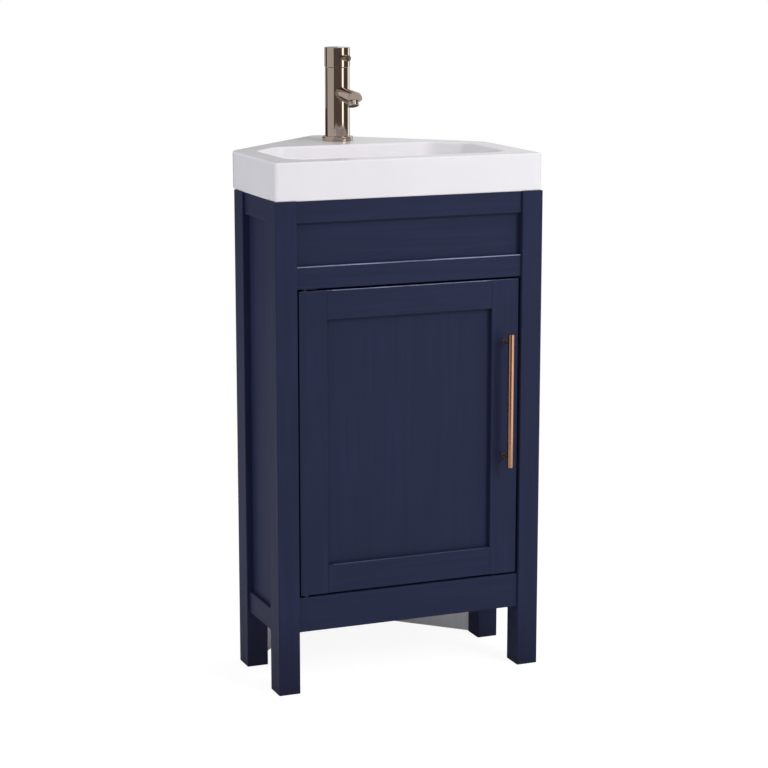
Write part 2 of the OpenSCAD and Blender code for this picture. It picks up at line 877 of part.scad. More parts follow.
// Sloping walls of the bowl and the round fillet to its bottom. grow moves the surface
// outwards, for the outside of the shell.
function bowl_rings(grow) = [
    for (a = [90 : -10 : 0]) [
        deck_z - bowl_wall_d - (bowl_fillet_r + grow) * sin(a),
        bowl_ring(bowl_wall_d * tan(bowl_draft) + bowl_fillet_r - (bowl_fillet_r + grow) * cos(a))
    ]
];
// Rounded lip of the bowl, up past the deck's surface
function bowl_lip_rings() = [
    for (a = [0 : 30 : 120]) [
        deck_z - bowl_lip_r * (1 - sin(min(a, 90))) + (a > 90 ? past : 0),
        bowl_ring(bowl_lip_r * (tan(bowl_draft) - 1 + cos(min(a, 90))))
    ]
];
module bowl_shell() {
    top_d = deck_t / 2;
    loft(concat(
        bowl_rings(bowl_wall_t),
        [[deck_z - top_d, bowl_ring(top_d * tan(bowl_draft) - bowl_wall_t)]]
    ));
    column(0, drain_y, basin_foot_z, bowl_low_z, drain_flange_r + bowl_wall_t);
}
module bowl_hollow() {
    dish_w = 9;
    loft(concat(bowl_rings(0), bowl_lip_rings()));
    // Shallow dish that falls to the drain's flange
    translate([0, drain_y, bowl_low_z])
        cylinder(h = bowl_fall + past, r1 = drain_flange_r + 1, r2 = drain_flange_r + 1 + dish_w);
}
module basin() {
    color(white_glaze) difference() {
        union() {
            difference() {
                basin_block();
                basin_underside();
            }
            bowl_shell();
        }
        bowl_hollow();
        column(0, drain_y, basin_foot_z - past, bowl_low_z + past, drain_body_r + drain_hole_gap);
        column(0, faucet_y, deck_z - deck_t - past, deck_z + past, shank_r + shank_gap);
    }
}

// ---- Drain ----

module drain_body() {
    flange_bevel = 2;
    color(nickel) {
        difference() {
            union() {
                column(0, drain_y, drain_low_z, bowl_low_z, drain_body_r);
                translate([0, drain_y, bowl_low_z])
                    cylinder(h = drain_flange_t, r1 = drain_flange_r, r2 = drain_flange_r - flange_bevel);
            }
            column(0, drain_y, drain_low_z, stopper_z + past, drain_bore_r);
            column(0, drain_y, drain_low_z - past, drain_low_z + tailpiece_thread_l, tailpiece_thread_r);
        }
        // Spider that guides the stopper's stem
        difference() {
            union() {
                column(0, drain_y, guide_z, guide_z + guide_t, stopper_stem_r + guide_hub_t);
                for (turn = [0, 120, 240])
                    translate([0, drain_y, guide_z]) rotate([0, 0, turn])
                        translate([0, -guide_spoke_t / 2, 0])
                            cube([drain_bore_r + past, guide_spoke_t, guide_t]);
            }
            column(0, drain_y, guide_z - past, guide_z + guide_t + past, stopper_stem_r + stopper_fit);
        }
    }
}
module ring(y, z, h, r_out, r_in) {
    difference() {
        column(0, y, z, z + h, r_out);
        column(0, y, z - past, z + h + past, r_in);
    }
}
module drain_gasket() {
    color(rubber_black) ring(drain_y, basin_foot_z - gasket_t, gasket_t, drain_flange_r, drain_body_r);
}
module drain_locknut() {
    z = basin_foot_z - gasket_t - locknut_t;
    color(plastic_white) difference() {
        translate([0, drain_y, z]) cylinder(h = locknut_t, r = drain_flange_r + 1, $fn = 8);
        column(0, drain_y, z - past, z + locknut_t + past, drain_body_r);
    }
}
module drain_tailpiece() {
    color(nickel) difference() {
        union() {
            column(0, drain_y, tailpiece_z, drain_low_z, tailpiece_r);
            column(0, drain_y, drain_low_z, drain_low_z + tailpiece_thread_l, tailpiece_thread_r);
        }
        column(
            0, drain_y, tailpiece_z - past, drain_low_z + tailpiece_thread_l + past,
            tailpiece_r - tailpiece_wall
        );
    }
}
// Domed stopper with its stem; it rests on the drain's flange
module pop_up_stopper() {
    top = stopper_edge_t + stopper_dome_h;
    dome_r = (stopper_r * stopper_r + stopper_dome_h * stopper_dome_h) / (2 * stopper_dome_h);
    color(nickel) translate([0, drain_y, stopper_z]) {
        rotate_extrude() intersection() {
            translate([0, top - dome_r]) circle(r = dome_r);
            square([stopper_r, top]);
        }
        translate([0, 0, -stopper_stem_l]) cylinder(h = stopper_stem_l, r = stopper_stem_r);
    }
}

// ---- Faucet ----

module faucet_base_ring() {
    edge_r = 1.2;
    color(nickel) translate([0, faucet_y, deck_z]) rotate_extrude()
        polygon(rounded(rectangle(shank_r, 0, base_ring_r, base_ring_h), [0, 0, edge_r, 0]));
}
// The spout's axis as a cylinder, from the faucet's axis outwards
module spout_bar(from, to, r) {
    translate([0, faucet_y, deck_z + spout_z]) rotate([90 + spout_slope, 0, 0])
        translate([0, 0, from]) cylinder(h = to - from, r = r);
}
module faucet_body() {
    color(nickel) difference() {
        column(0, faucet_y, body_z, body_top_z, faucet_r);
        column(0, faucet_y, cartridge_z, body_top_z + past, cartridge_r);
    }
}
// The aerator's axis as a cylinder, from its outlet upwards into the spout
module aerator_bar(from, to, r) {
    translate([0, faucet_y - aerator_reach, deck_z + aerator_z]) rotate([-aerator_tilt, 0, 0])
        translate([0, 0, from]) cylinder(h = to - from, r = r);
}
// The spout's outside: it widens to a flat end with a small bevel
module spout_blank() {
    bevel = 1;
    length = spout_reach / cos(spout_slope);
    translate([0, faucet_y, deck_z + spout_z]) rotate([90 + spout_slope, 0, 0]) {
        cylinder(h = length - bevel, r1 = spout_root_r, r2 = spout_r);
        translate([0, 0, length - bevel]) cylinder(h = bevel, r1 = spout_r, r2 = spout_r - bevel);
    }
}
module faucet_spout() {
    color(nickel) difference() {
        spout_blank();
        column(0, faucet_y, body_z, body_top_z, faucet_r);
        // The cut under the end, which starts at the middle of the end face
        translate([0, faucet_y - spout_reach, deck_z + spout_z - spout_reach * tan(spout_slope)])
            rotate([-mouth_slope, 0, 0]) translate([-2 * spout_r, -past, -4 * spout_r])
                cube([4 * spout_r, 4 * spout_r, 4 * spout_r]);
        spout_bar(faucet_r, aerator_reach, waterway_r);
        aerator_bar(0, aerator_l, aerator_r);
    }
}
module aerator() {
    wall = 2;
    inlet_t = 3;
    inlet_r = 4;
    color(nickel) difference() {
        aerator_bar(0, aerator_l, aerator_r);
        aerator_bar(-past, aerator_l - inlet_t, aerator_r - wall);
        aerator_bar(aerator_l - inlet_t - past, aerator_l + past, inlet_r);
    }
}
module faucet_shank() {
    color(brass) difference() {
        column(0, faucet_y, shank_z, body_z, shank_r);
        for (side = [-1, 1])
            column(side * port_pitch / 2, faucet_y, shank_z - past, shank_z + port_l, port_r);
    }
}
module mounting_washer() {
    rim = 9;
    color(steel) ring(faucet_y, washer_z, washer_t, shank_r + rim, shank_r);
}
module mounting_nut() {
    rim = 6;
    color(brass) difference() {
        translate([0, faucet_y, nut_z]) cylinder(h = nut_t, r = shank_r + rim, $fn = 6);
        column(0, faucet_y, nut_z - past, nut_z + nut_t + past, shank_r);
    }
}
// The cartridge fills its pocket in the body and carries the turning neck
module cartridge() {
    color(plastic_white) difference() {
        column(0, faucet_y, cartridge_z, cartridge_top_z, cartridge_r);
        column(
            0, faucet_y,
            cartridge_top_z - spigot_h - neck_gap, cartridge_top_z + past,
            spigot_r + faucet_fit
        );
    }
}
module stem_pin_bar(r, reach) {
    translate([-reach, faucet_y, pivot_z]) rotate([0, 90, 0]) cylinder(h = 2 * reach, r = r);
}
module cartridge_neck() {
    color(plastic_white) difference() {
        union() {
            column(0, faucet_y, cartridge_top_z - spigot_h, cartridge_top_z + neck_gap, spigot_r);
            column(0, faucet_y, cartridge_top_z + neck_gap, neck_top_z, neck_r);
        }
        // Slot in which the stem tilts
        block(
            [-stem_w / 2 - stem_play, faucet_y - neck_r - past, pivot_z - stem_w / 2 - past],
            [stem_w / 2 + stem_play, faucet_y + neck_r + past, neck_top_z + past]
        );
        stem_pin_bar(stem_pin_r + faucet_fit, neck_r + past);
    }
}
// The stem turns about its pin; its lower end is round, so that it clears the slot as it tilts
module stem_blank() {
    translate([-stem_w / 2, faucet_y, pivot_z]) rotate([0, 90, 0])
        cylinder(h = stem_w, r = stem_w / 2);
    block(
        [-stem_w / 2, faucet_y - stem_w / 2, pivot_z],
        [stem_w / 2, faucet_y + stem_w / 2, stem_top_z]
    );
}
module cartridge_stem() {
    color(steel) difference() {
        stem_blank();
        stem_pin_bar(stem_pin_r, neck_r);
    }
}
module stem_pin() {
    color(steel) stem_pin_bar(stem_pin_r, neck_r - 0.5);
}
// The pin lever, a little thicker at its end, from its socket in the cap forwards
module lever_pin() {
    bevel = 1;
    color(nickel) translate([0, faucet_y, cap_z + lever_z]) rotate([90, 0, 0]) {
        translate([0, 0, lever_root_y]) cylinder(h = cap_r - lever_root_y, r = lever_root_r);
        translate([0, 0, cap_r])
            cylinder(h = lever_reach - cap_r - bevel, r1 = lever_root_r, r2 = lever_r);
        translate([0, 0, lever_reach - bevel])
            cylinder(h = bevel, r1 = lever_r, r2 = lever_r - bevel);
    }
}
// The screw's axis as a cylinder, from one distance behind the faucet's axis to another
module cap_screw_bar(from, to) {
    rod_y(0, cap_screw_z, faucet_y + from, faucet_y + to, cap_screw_r);
}
module cap_screw() {
    sunk = 1.5;
    color(steel) cap_screw_bar(stem_w / 2, cap_r - sunk);
}
module handle_cap() {
    edge_r = 1;
    spare = 1;       // degrees past the full lift
    seat_gap = 0.2;  // between the relief and the body's top at the full lift
    color(nickel) difference() {
        translate([0, faucet_y, cap_z]) rotate_extrude()
            polygon(rounded(rectangle(0, 0, cap_r, cap_h), [0, 0, edge_r, 0]));
        column(0, faucet_y, cap_z - past, cap_z + cap_hollow_h, cap_r - cap_wall);
        // Relief under the rear, so that the cap clears the body when it is lifted
        translate([0, faucet_y, pivot_z]) rotate([cap_lift + spare, 0, 0])
            translate([-2 * cap_r, 0, -cap_pivot_z - cap_gap + seat_gap - 2 * cap_r])
                cube([4 * cap_r, 3 * cap_r, 2 * cap_r]);
        stem_blank();
        lever_pin();
        cap_screw_bar(0, cap_r + past);
    }
}

// ---- The pieces ----

front_left_leg();
front_right_leg();
rear_left_leg();
rear_right_leg();
top_rail();
apron_panel();
mid_rail();
bottom_rail();
left_side_top_rail();
right_side_top_rail();
left_side_bottom_rail();
right_side_bottom_rail();
left_side_panel();
right_side_panel();
left_back_panel();
right_back_panel();
back_corner_post();
cabinet_floor();
floor_cleats();
upper_hinge_bush();
lower_hinge_bush();
magnetic_catch();
catch_screws();
door_left_stile();
door_right_stile();
door_top_rail();
door_bottom_rail();
door_panel();
upper_hinge_pin();
lower_hinge_pin();
catch_strike();
handle_bar();
handle_posts();
handle_screws();
basin();
drain_body();
drain_gasket();
drain_locknut();
drain_tailpiece();
pop_up_stopper();
faucet_base_ring();
faucet_body();
faucet_spout();
aerator();
faucet_shank();
mounting_washer();
mounting_nut();
cartridge();
cartridge_neck();
cartridge_stem();
stem_pin();
handle_cap();
lever_pin();
cap_screw();
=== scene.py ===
"""Looks of the corner vanity unit: finishes, glazed basin, faucet and small fasteners around the
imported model. Metres, +Z up, +X to the right along the front, +Y into the corner of the room."""
import json
from math import atan2, ceil, cos, degrees, pi, radians, sin, sqrt, tan

import bmesh
import bpy
from mathutils import Matrix, Vector


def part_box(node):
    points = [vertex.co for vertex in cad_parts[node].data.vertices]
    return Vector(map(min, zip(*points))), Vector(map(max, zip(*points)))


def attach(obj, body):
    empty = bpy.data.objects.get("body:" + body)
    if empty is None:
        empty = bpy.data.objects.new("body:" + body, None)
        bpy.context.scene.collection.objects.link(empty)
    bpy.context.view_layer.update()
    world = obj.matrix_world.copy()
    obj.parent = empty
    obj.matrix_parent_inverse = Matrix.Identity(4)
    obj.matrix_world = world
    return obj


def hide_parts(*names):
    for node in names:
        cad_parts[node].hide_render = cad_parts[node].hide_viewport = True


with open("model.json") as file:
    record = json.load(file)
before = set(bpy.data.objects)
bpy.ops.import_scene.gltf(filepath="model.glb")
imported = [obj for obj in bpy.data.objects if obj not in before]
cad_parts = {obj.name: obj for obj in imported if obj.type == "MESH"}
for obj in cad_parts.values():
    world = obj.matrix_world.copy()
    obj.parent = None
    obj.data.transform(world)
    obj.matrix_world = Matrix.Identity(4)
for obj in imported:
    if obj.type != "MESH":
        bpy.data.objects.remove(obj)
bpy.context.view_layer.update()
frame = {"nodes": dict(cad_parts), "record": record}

MM = 0.001
ROOT2 = sqrt(2)

# ---- Sizes, from the frame ----

BASIN_LOW, BASIN_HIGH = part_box("basin")
BODY_LOW, BODY_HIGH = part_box("faucet_body")
BAR_LOW, BAR_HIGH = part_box("handle_bar")

CABINET_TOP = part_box("front_left_leg")[1].z
DECK_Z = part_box("faucet_base_ring")[0].z
RAIL_FACE_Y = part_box("door_left_stile")[0].y
FAUCET_Y = (BODY_LOW.y + BODY_HIGH.y) / 2
DRAIN_Y = sum(p.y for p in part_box("drain_gasket")) / 2


# ---- Camera ----

CAMERA_AT = Vector((-1.3615, -3.4503, 1.2040))
CAMERA_YAW = radians(22.058)
CAMERA_PITCH = radians(11.367)
FOCAL_PX = 2227.5
FRAME_PX = 768
SENSOR_MM = 36


def make_camera():
    camera = bpy.data.cameras.new("camera")
    camera.sensor_width = SENSOR_MM
    camera.lens = FOCAL_PX / FRAME_PX * SENSOR_MM
    camera.clip_end = 200
    obj = bpy.data.objects.new("camera", camera)
    obj.location = CAMERA_AT
    obj.rotation_euler = (pi / 2 - CAMERA_PITCH, 0, -CAMERA_YAW)
    bpy.context.scene.collection.objects.link(obj)
    bpy.context.scene.camera = obj


make_camera()
bpy.context.scene.view_settings.view_transform = "Standard"


# ---- Node helpers ----

def srgb(*rgb):
    """An 8-bit display colour as the linear colour that a shader takes."""
    linear = [(c / 255 / 12.92) if c <= 10 else ((c / 255 + 0.055) / 1.055) ** 2.4 for c in rgb]
    return (*linear, 1.0)


class Shader:
    """A material's node tree with a few short ways to add nodes."""

    def __init__(self, name):
        self.material = bpy.data.materials.new(name)
        self.material.use_nodes = True
        self.tree = self.material.node_tree
        self.bsdf = self.tree.nodes["Principled BSDF"]
        self.coords = self.tree.nodes.new("ShaderNodeTexCoord").outputs["Object"]

    def put(self, socket, value):
        if isinstance(value, bpy.types.NodeSocket):
            self.tree.links.new(value, socket)
        else:
            socket.default_value = value

    def set(self, **sockets):
        """Sets the shader's own sockets; a name's underscores stand for spaces."""
        for name, value in sockets.items():
            self.put(self.bsdf.inputs[name.replace("_", " ")], value)

    def stretched(self, scale, shift=(0, 0, 0)):
        node = self.tree.nodes.new("ShaderNodeMapping")
        node.inputs["Scale"].default_value = scale
        node.inputs["Location"].default_value = shift
        self.put(node.inputs["Vector"], self.coords)
        return node.outputs["Vector"]

    def noise(self, vector, scale=1.0, detail=4.0, roughness=0.55, distortion=0.0):
        node = self.tree.nodes.new("ShaderNodeTexNoise")
        self.put(node.inputs["Vector"], vector)
        node.inputs["Scale"].default_value = scale
        node.inputs["Detail"].default_value = detail
        node.inputs["Roughness"].default_value = roughness
        node.inputs["Distortion"].default_value = distortion
        return node.outputs["Fac"]

    def ramp(self, value, *stops):
        node = self.tree.nodes.new("ShaderNodeValToRGB")
        self.put(node.inputs["Fac"], value)
        ramp = node.color_ramp
        ramp.elements[0].position, ramp.elements[0].color = stops[0]
        ramp.elements[1].position, ramp.elements[1].color = stops[-1]
        for position, colour in stops[1:-1]:
            ramp.elements.new(position).color = colour
        return node.outputs["Color"]

    def span(self, value, low, high, to_low=0.0, to_high=1.0):
        node = self.tree.nodes.new("ShaderNodeMapRange")
        self.put(node.inputs["Value"], value)
        limits = {"From Min": low, "From Max": high, "To Min": to_low, "To Max": to_high}
        for name, number in limits.items():
            node.inputs[name].default_value = number
        return node.outputs["Result"]

    def maths(self, operation, a, b):
        node = self.tree.nodes.new("ShaderNodeMath")
        node.operation = operation
        self.put(node.inputs[0], a)
        self.put(node.inputs[1], b)
        return node.outputs["Value"]

    def mix(self, factor, a, b):
        node = self.tree.nodes.new("ShaderNodeMix")
        node.data_type = "RGBA"
        self.put(node.inputs["Factor"], factor)
        self.put(node.inputs["A"], a)
        self.put(node.inputs["B"], b)
        return node.outputs["Result"]

    def bump(self, height, strength, distance, normal=None):
        node = self.tree.nodes.new("ShaderNodeBump")
        self.put(node.inputs["Height"], height)
        node.inputs["Strength"].default_value = strength
        node.inputs["Distance"].default_value = distance
        if normal is not None:
            self.put(node.inputs["Normal"], normal)
        return node.outputs["Normal"]


# ---- Finishes ----

def navy_paint(name, grain):
    """Satin navy paint over wood whose grain runs along one axis and just shows through, darkened
    towards the floor as painted shade.
    """
    s = Shader(name)
    fine, coarse = [900.0] * 3, [150.0] * 3
    fine[grain], coarse[grain] = 22.0, 5.0
    pores = s.noise(s.stretched(fine), detail=5, roughness=0.65)
    streaks = s.noise(s.stretched(coarse), detail=4, roughness=0.6, distortion=0.4)
    cloud = s.noise(s.coords, scale=5, detail=3)
    peel = s.noise(s.coords, scale=1400, detail=2)
    tone = s.maths("ADD", s.maths("MULTIPLY", streaks, 0.6), s.maths("MULTIPLY", cloud, 0.4))
    colour = s.ramp(tone, (0.3, srgb(37, 42, 68)), (0.5, srgb(40, 45, 73)), (0.7, srgb(43, 48, 78)))
    dark_pores = s.span(pores, 0.62, 0.75, 0.0, 0.35)
    colour = s.mix(dark_pores, colour, srgb(30, 34, 56))
    # Painted shade: the paint's colour darkens over the bottom 0.13 m, towards the floor.
    height_above_floor = s.tree.nodes.new("ShaderNodeSeparateXYZ")
    s.put(height_above_floor.inputs["Vector"], s.coords)
    painted_floor_shade = s.span(height_above_floor.outputs["Z"], 0.0, 0.13, 0.45, 0.0)
    colour = s.mix(painted_floor_shade, colour, srgb(22, 23, 38))
    height = s.maths("ADD", s.maths("MULTIPLY", streaks, 0.5), s.maths("MULTIPLY", pores, 0.5))
    normal = s.bump(height, 0.16, 0.4 * MM, s.bump(peel, 0.04, 0.1 * MM))
    s.set(Base_Color=colour, Roughness=s.span(streaks, 0.3, 0.7, 0.40, 0.50), Normal=normal)
    s.set(Specular_IOR_Level=0.09)
    return s.material


def highlight_paint(name, low, high):
    """Navy paint lightened along an edge, as a painted highlight."""
    s = Shader(name)
    runs = s.noise(s.stretched((9.0, 60.0, 60.0)), detail=4, roughness=0.6)
    specks = s.noise(s.coords, scale=700, detail=3)
    tone = s.maths("ADD", s.maths("MULTIPLY", runs, 0.75), s.maths("MULTIPLY", specks, 0.25))
    s.set(Base_Color=s.ramp(tone, (0.36, low), (0.56, high)),
          Roughness=s.span(specks, 0.3, 0.7, 0.34, 0.46), Normal=s.bump(specks, 0.1, 0.1 * MM))
    s.set(Specular_IOR_Level=0.3)
    return s.material


def grey_board(name, grain):
    """Pale grey laminate with a faint printed grain."""
    s = Shader(name)
    scale = [120.0] * 3
    scale[grain] = 6.0
    print_grain = s.noise(s.stretched(scale), detail=5, roughness=0.6)
    specks = s.noise(s.coords, scale=900, detail=2)
    colour = s.ramp(print_grain, (0.3, srgb(234, 234, 238)), (0.7, srgb(243, 243, 246)))
    colour = s.mix(s.span(specks, 0.6, 0.8, 0.0, 0.3), colour, srgb(198, 198, 205))
    s.set(Base_Color=colour, Roughness=s.span(specks, 0.3, 0.7, 0.45, 0.6),
          Normal=s.bump(specks, 0.08, 0.1 * MM))
    s.set(Specular_IOR_Level=0.3)
    return s.material


def white_glaze(name):
    """Gloss white glaze with the slight waviness of fired ceramic."""
    s = Shader(name)
    wave = s.noise(s.coords, scale=16, detail=2, roughness=0.4)
    specks = s.noise(s.coords, scale=2200, detail=1)
    cloud = s.noise(s.coords, scale=9, detail=3)
    colour = s.ramp(cloud, (0.3, srgb(245, 243, 247)), (0.7, srgb(249, 246, 250)))
    normal = s.bump(wave, 0.10, 1.2 * MM, s.bump(specks, 0.02, 0.05 * MM))
    s.set(Base_Color=colour, Roughness=s.span(cloud, 0.3, 0.7, 0.20, 0.26), Normal=normal)
    s.set(Specular_IOR_Level=0.3)
    return s.material


def brushed_metal(name, light, dark, roughness, brush, strength=0.05):
    """Metal brushed along one axis; brush is the axis along which the marks run."""
    s = Shader(name)
    scale = [2600.0] * 3
    scale[brush] = 40.0
    marks = s.noise(s.stretched(scale), detail=4, roughness=0.6)
    smudge = s.noise(s.coords, scale=60, detail=3)
    colour = s.ramp(marks, (0.3, dark), (0.7, light))
    s.set(Base_Color=colour, Normal=s.bump(marks, strength, 0.05 * MM),
          Roughness=s.maths("ADD", s.span(smudge, 0.3, 0.7, -0.02, 0.03), roughness))
    s.set(Metallic=1.0)
    return s.material


def moulded(name, low, high, roughness):
    """Moulded plastic or rubber with a fine texture."""
    s = Shader(name)
    grain = s.noise(s.coords, scale=1800, detail=3)
    cloud = s.noise(s.coords, scale=40, detail=2)
    s.set(Base_Color=s.ramp(cloud, (0.3, low), (0.7, high)), Normal=s.bump(grain, 0.12, 0.1 * MM),
          Roughness=s.maths("ADD", s.span(grain, 0.3, 0.7, -0.04, 0.04), roughness))
    return s.material


X, Y, Z = 0, 1, 2
PAINT = [navy_paint("navy_paint_grain_" + axis, i) for i, axis in enumerate("xyz")]
BOARD = [grey_board("grey_board_grain_" + axis, i) for i, axis in enumerate("xyz")]
# Painted highlights for the rounded top front edges: a bright one and a faint one.
EDGE_HIGHLIGHT = highlight_paint("navy_paint_painted_highlight", srgb(84, 89, 122), srgb(158, 163, 198))
FAINT_EDGE_HIGHLIGHT = highlight_paint("navy_paint_faint_painted_highlight", srgb(42, 47, 74), srgb(72, 77, 106))
GLAZE = white_glaze("white_glaze")
NICKEL_TONES = srgb(186, 172, 160), srgb(170, 155, 143)
NICKEL = brushed_metal("brushed_nickel", *NICKEL_TONES, 0.05, Z, 0.02)
NICKEL_ARM = brushed_metal("brushed_nickel_arm", *NICKEL_TONES, 0.07, Y, 0.02)
BRONZE = brushed_metal("satin_bronze", srgb(196, 150, 122), srgb(176, 130, 102), 0.15, Z, 0.02)
BRONZE_POST = brushed_metal("satin_bronze_post", srgb(196, 156, 122), srgb(170, 130, 98), 0.5, Y)
STEEL = brushed_metal("zinc_steel", srgb(206, 208, 210), srgb(178, 181, 184), 0.3, X)
SCREEN = brushed_metal("outlet_screen", srgb(120, 118, 115), srgb(96, 94, 92), 0.5, X)
BLACK_STEEL = brushed_metal("black_steel", srgb(62, 62, 64), srgb(48, 48, 50), 0.42, X)
BRASS = brushed_metal("plain_brass", srgb(214, 184, 120), srgb(190, 158, 92), 0.27, Z)
PLASTIC = moulded("white_plastic", srgb(226, 226, 222), srgb(234, 234, 230), 0.42)
RUBBER = moulded("black_rubber", srgb(24, 24, 25), srgb(36, 36, 37), 0.75)

FINISH = {
    "navy_paint": PAINT[Z], "grey_board": BOARD[Z], "white_glaze": GLAZE, "brushed_nickel": NICKEL,
    "satin_bronze": BRONZE, "zinc_steel": STEEL, "black_steel": BLACK_STEEL, "plain_brass": BRASS,
    "white_plastic": PLASTIC, "black_rubber": RUBBER,
}
GRAIN_X = (
    "top_rail", "apron_panel", "mid_rail", "bottom_rail", "door_top_rail", "door_bottom_rail",
)
GRAIN_Y = (
    "left_side_top_rail", "right_side_top_rail", "left_side_bottom_rail", "right_side_bottom_rail",
)


def finish_nodes():
    for part in frame["record"]["subparts"]:
        node, slot = part["node"], part["material_slot"]
        material = FINISH[slot]
        if node in GRAIN_X:
            material = PAINT[X]
        elif node in GRAIN_Y:
            material = PAINT[Y]
        elif node == "cabinet_floor":
            material = BOARD[X]
        mesh = frame["nodes"][node].data
        mesh.materials.clear()
        mesh.materials.append(material)


finish_nodes()


# ---- Mesh helpers ----

# Distances, in metres, within which points are one and the same
SAME_CORNER = 1e-9
SAME_POINT = 1e-7
SLIVER = 0.005 * MM


def add_piece(name, mesh, material, body, slot, *replaced, smooth=35):
    """Links a mesh as a piece of the object, finished, riding on a body."""
    obj = bpy.data.objects.new(name, mesh)
    bpy.context.scene.collection.objects.link(obj)
    mesh.materials.clear()
    mesh.materials.append(material)
    shade(mesh, smooth)
    weighted = obj.modifiers.new("weighted", "WEIGHTED_NORMAL")
    weighted.keep_sharp = True
    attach(obj, body)
    if replaced:
        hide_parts(*replaced)


def shade(mesh, angle):
    """Smooth faces, with every edge sharper than the angle in degrees kept sharp."""
    mesh.polygons.foreach_set("use_smooth", [True] * len(mesh.polygons))
    mesh.set_sharp_from_angle(angle=radians(angle))


def mesh_from(name, points, faces):
    """A mesh with coinciding points merged and its faces turned outwards."""
    mesh = bpy.data.meshes.new(name)
    mesh.from_pydata(points, [], faces)
    work = bmesh.new()
    work.from_mesh(mesh)
    bmesh.ops.remove_doubles(work, verts=work.verts, dist=SAME_POINT)
    bmesh.ops.recalc_face_normals(work, faces=work.faces)
    work.to_mesh(mesh)
    work.free()
    return mesh


def loft_mesh(name, rings):
    """A closed solid through a stack of rings that have as many points each."""
    n = len(rings[0])
    points = [p for ring in rings for p in ring]
    faces = [
        (k * n + i, k * n + (i + 1) % n, (k + 1) * n + (i + 1) % n, (k + 1) * n + i)
        for k in range(len(rings) - 1) for i in range(n)
    ]
    faces.append(tuple(reversed(range(n))))
    faces.append(tuple((len(rings) - 1) * n + i for i in range(n)))
    return mesh_from(name, points, faces)


def lathe_mesh(name, outline, steps=96):
    """Turns a closed outline of (radius, height) points about the Z axis."""
    n = len(outline)
    points = [
        (r * cos(2 * pi * k / steps), r * sin(2 * pi * k / steps), z)
        for k in range(steps) for r, z in outline
    ]
    faces = []
    for k in range(steps):
        for i in range(n):
            j, here, there = (i + 1) % n, k * n, (k + 1) % steps * n
            if outline[i][0] == 0 and outline[j][0] == 0:
                continue
            faces.append((here + i, there + i, there + j, here + j))
    mesh = bpy.data.meshes.new(name)
    work = bmesh.new()
    verts = [work.verts.new(p) for p in points]
    for face in faces:
        ring = []
        for i in face:
            v = verts[i]
            if not any((v.co - w.co).length < SAME_CORNER for w in ring):
                ring.append(v)
        if len(ring) > 2:
            work.faces.new(ring)
    bmesh.ops.remove_doubles(work, verts=work.verts, dist=SAME_POINT)
    bmesh.ops.recalc_face_normals(work, faces=work.faces)
    work.to_mesh(mesh)
    work.free()
    return mesh


def placed(mesh, matrix):
    mesh.transform(matrix)
    return mesh


def combine(first, others, operation):
    """The first mesh after an exact boolean with each of the others in turn."""
    base = bpy.data.objects.new("work", first)
    bpy.context.scene.collection.objects.link(base)
    tools = []
    for mesh in others:
        tool = bpy.data.objects.new("tool", mesh)
        bpy.context.scene.collection.objects.link(tool)
        tools.append(tool)
        modifier = base.modifiers.new("boolean", "BOOLEAN")
        modifier.solver = "EXACT"
        modifier.operation = operation
        modifier.object = tool
    bpy.context.view_layer.update()
    graph = bpy.context.evaluated_depsgraph_get()
    result = bpy.data.meshes.new_from_object(base.evaluated_get(graph))
    for obj in (base, *tools):
        mesh = obj.data
        bpy.data.objects.remove(obj)
        bpy.data.meshes.remove(mesh)
    drop_slivers(result)
    return result


def drop_slivers(mesh):
    """Merges the slivers that an exact boolean leaves and closes the slits between them."""
    work = bmesh.new()
    work.from_mesh(mesh)
    bmesh.ops.remove_doubles(work, verts=work.verts, dist=SLIVER)
    bmesh.ops.dissolve_degenerate(work, edges=work.edges, dist=SLIVER)
    bmesh.ops.triangulate(work, faces=[f for f in work.faces if len(f.verts) > 4])
    bmesh.ops.dissolve_degenerate(work, edges=work.edges, dist=SLIVER)
    bmesh.ops.holes_fill(work, edges=[e for e in work.edges if e.is_boundary], sides=4)
    bmesh.ops.recalc_face_normals(work, faces=work.faces)
    work.to_mesh(mesh)
    work.free()


def arc(centre, r, start, end, steps):
    """Points of an arc in degrees, from start to end."""
    return [
        (centre[0] + r * cos(radians(start + (end - start) * i / steps)),
         centre[1] + r * sin(radians(start + (end - start) * i / steps)))
        for i in range(steps + 1)
    ]


def corner_arc(p, q, s, r, steps):
    """The arc that rounds the corner q between its neighbours p and s."""
    a, b = (p - q).normalized(), (s - q).normalized()
    half = a.angle(b) / 2
    centre = q + (a + b).normalized() * r / sin(half)
    start, end = q + a * r / tan(half) - centre, q + b * r / tan(half) - centre
    first = degrees(atan2(start.y, start.x))
    turn = (degrees(atan2(end.y, end.x)) - first + 540) % 360 - 180
    return arc(centre, r, first, first + turn, steps)


def rounded(points, radii, steps):
    """A closed outline with each of its corners rounded by its own radius."""
    points = [Vector(p) for p in points]
    n = len(points)
    return [
        p for i in range(n)
        for p in corner_arc(points[i - 1], points[i], points[(i + 1) % n], radii[i], steps)
    ]


def with_mirror(right):
    """The points of the right half and their mirror images, in one outline."""
    return right + [(-x, y) for x, y in reversed(right) if x != 0]


# ---- Basin ----

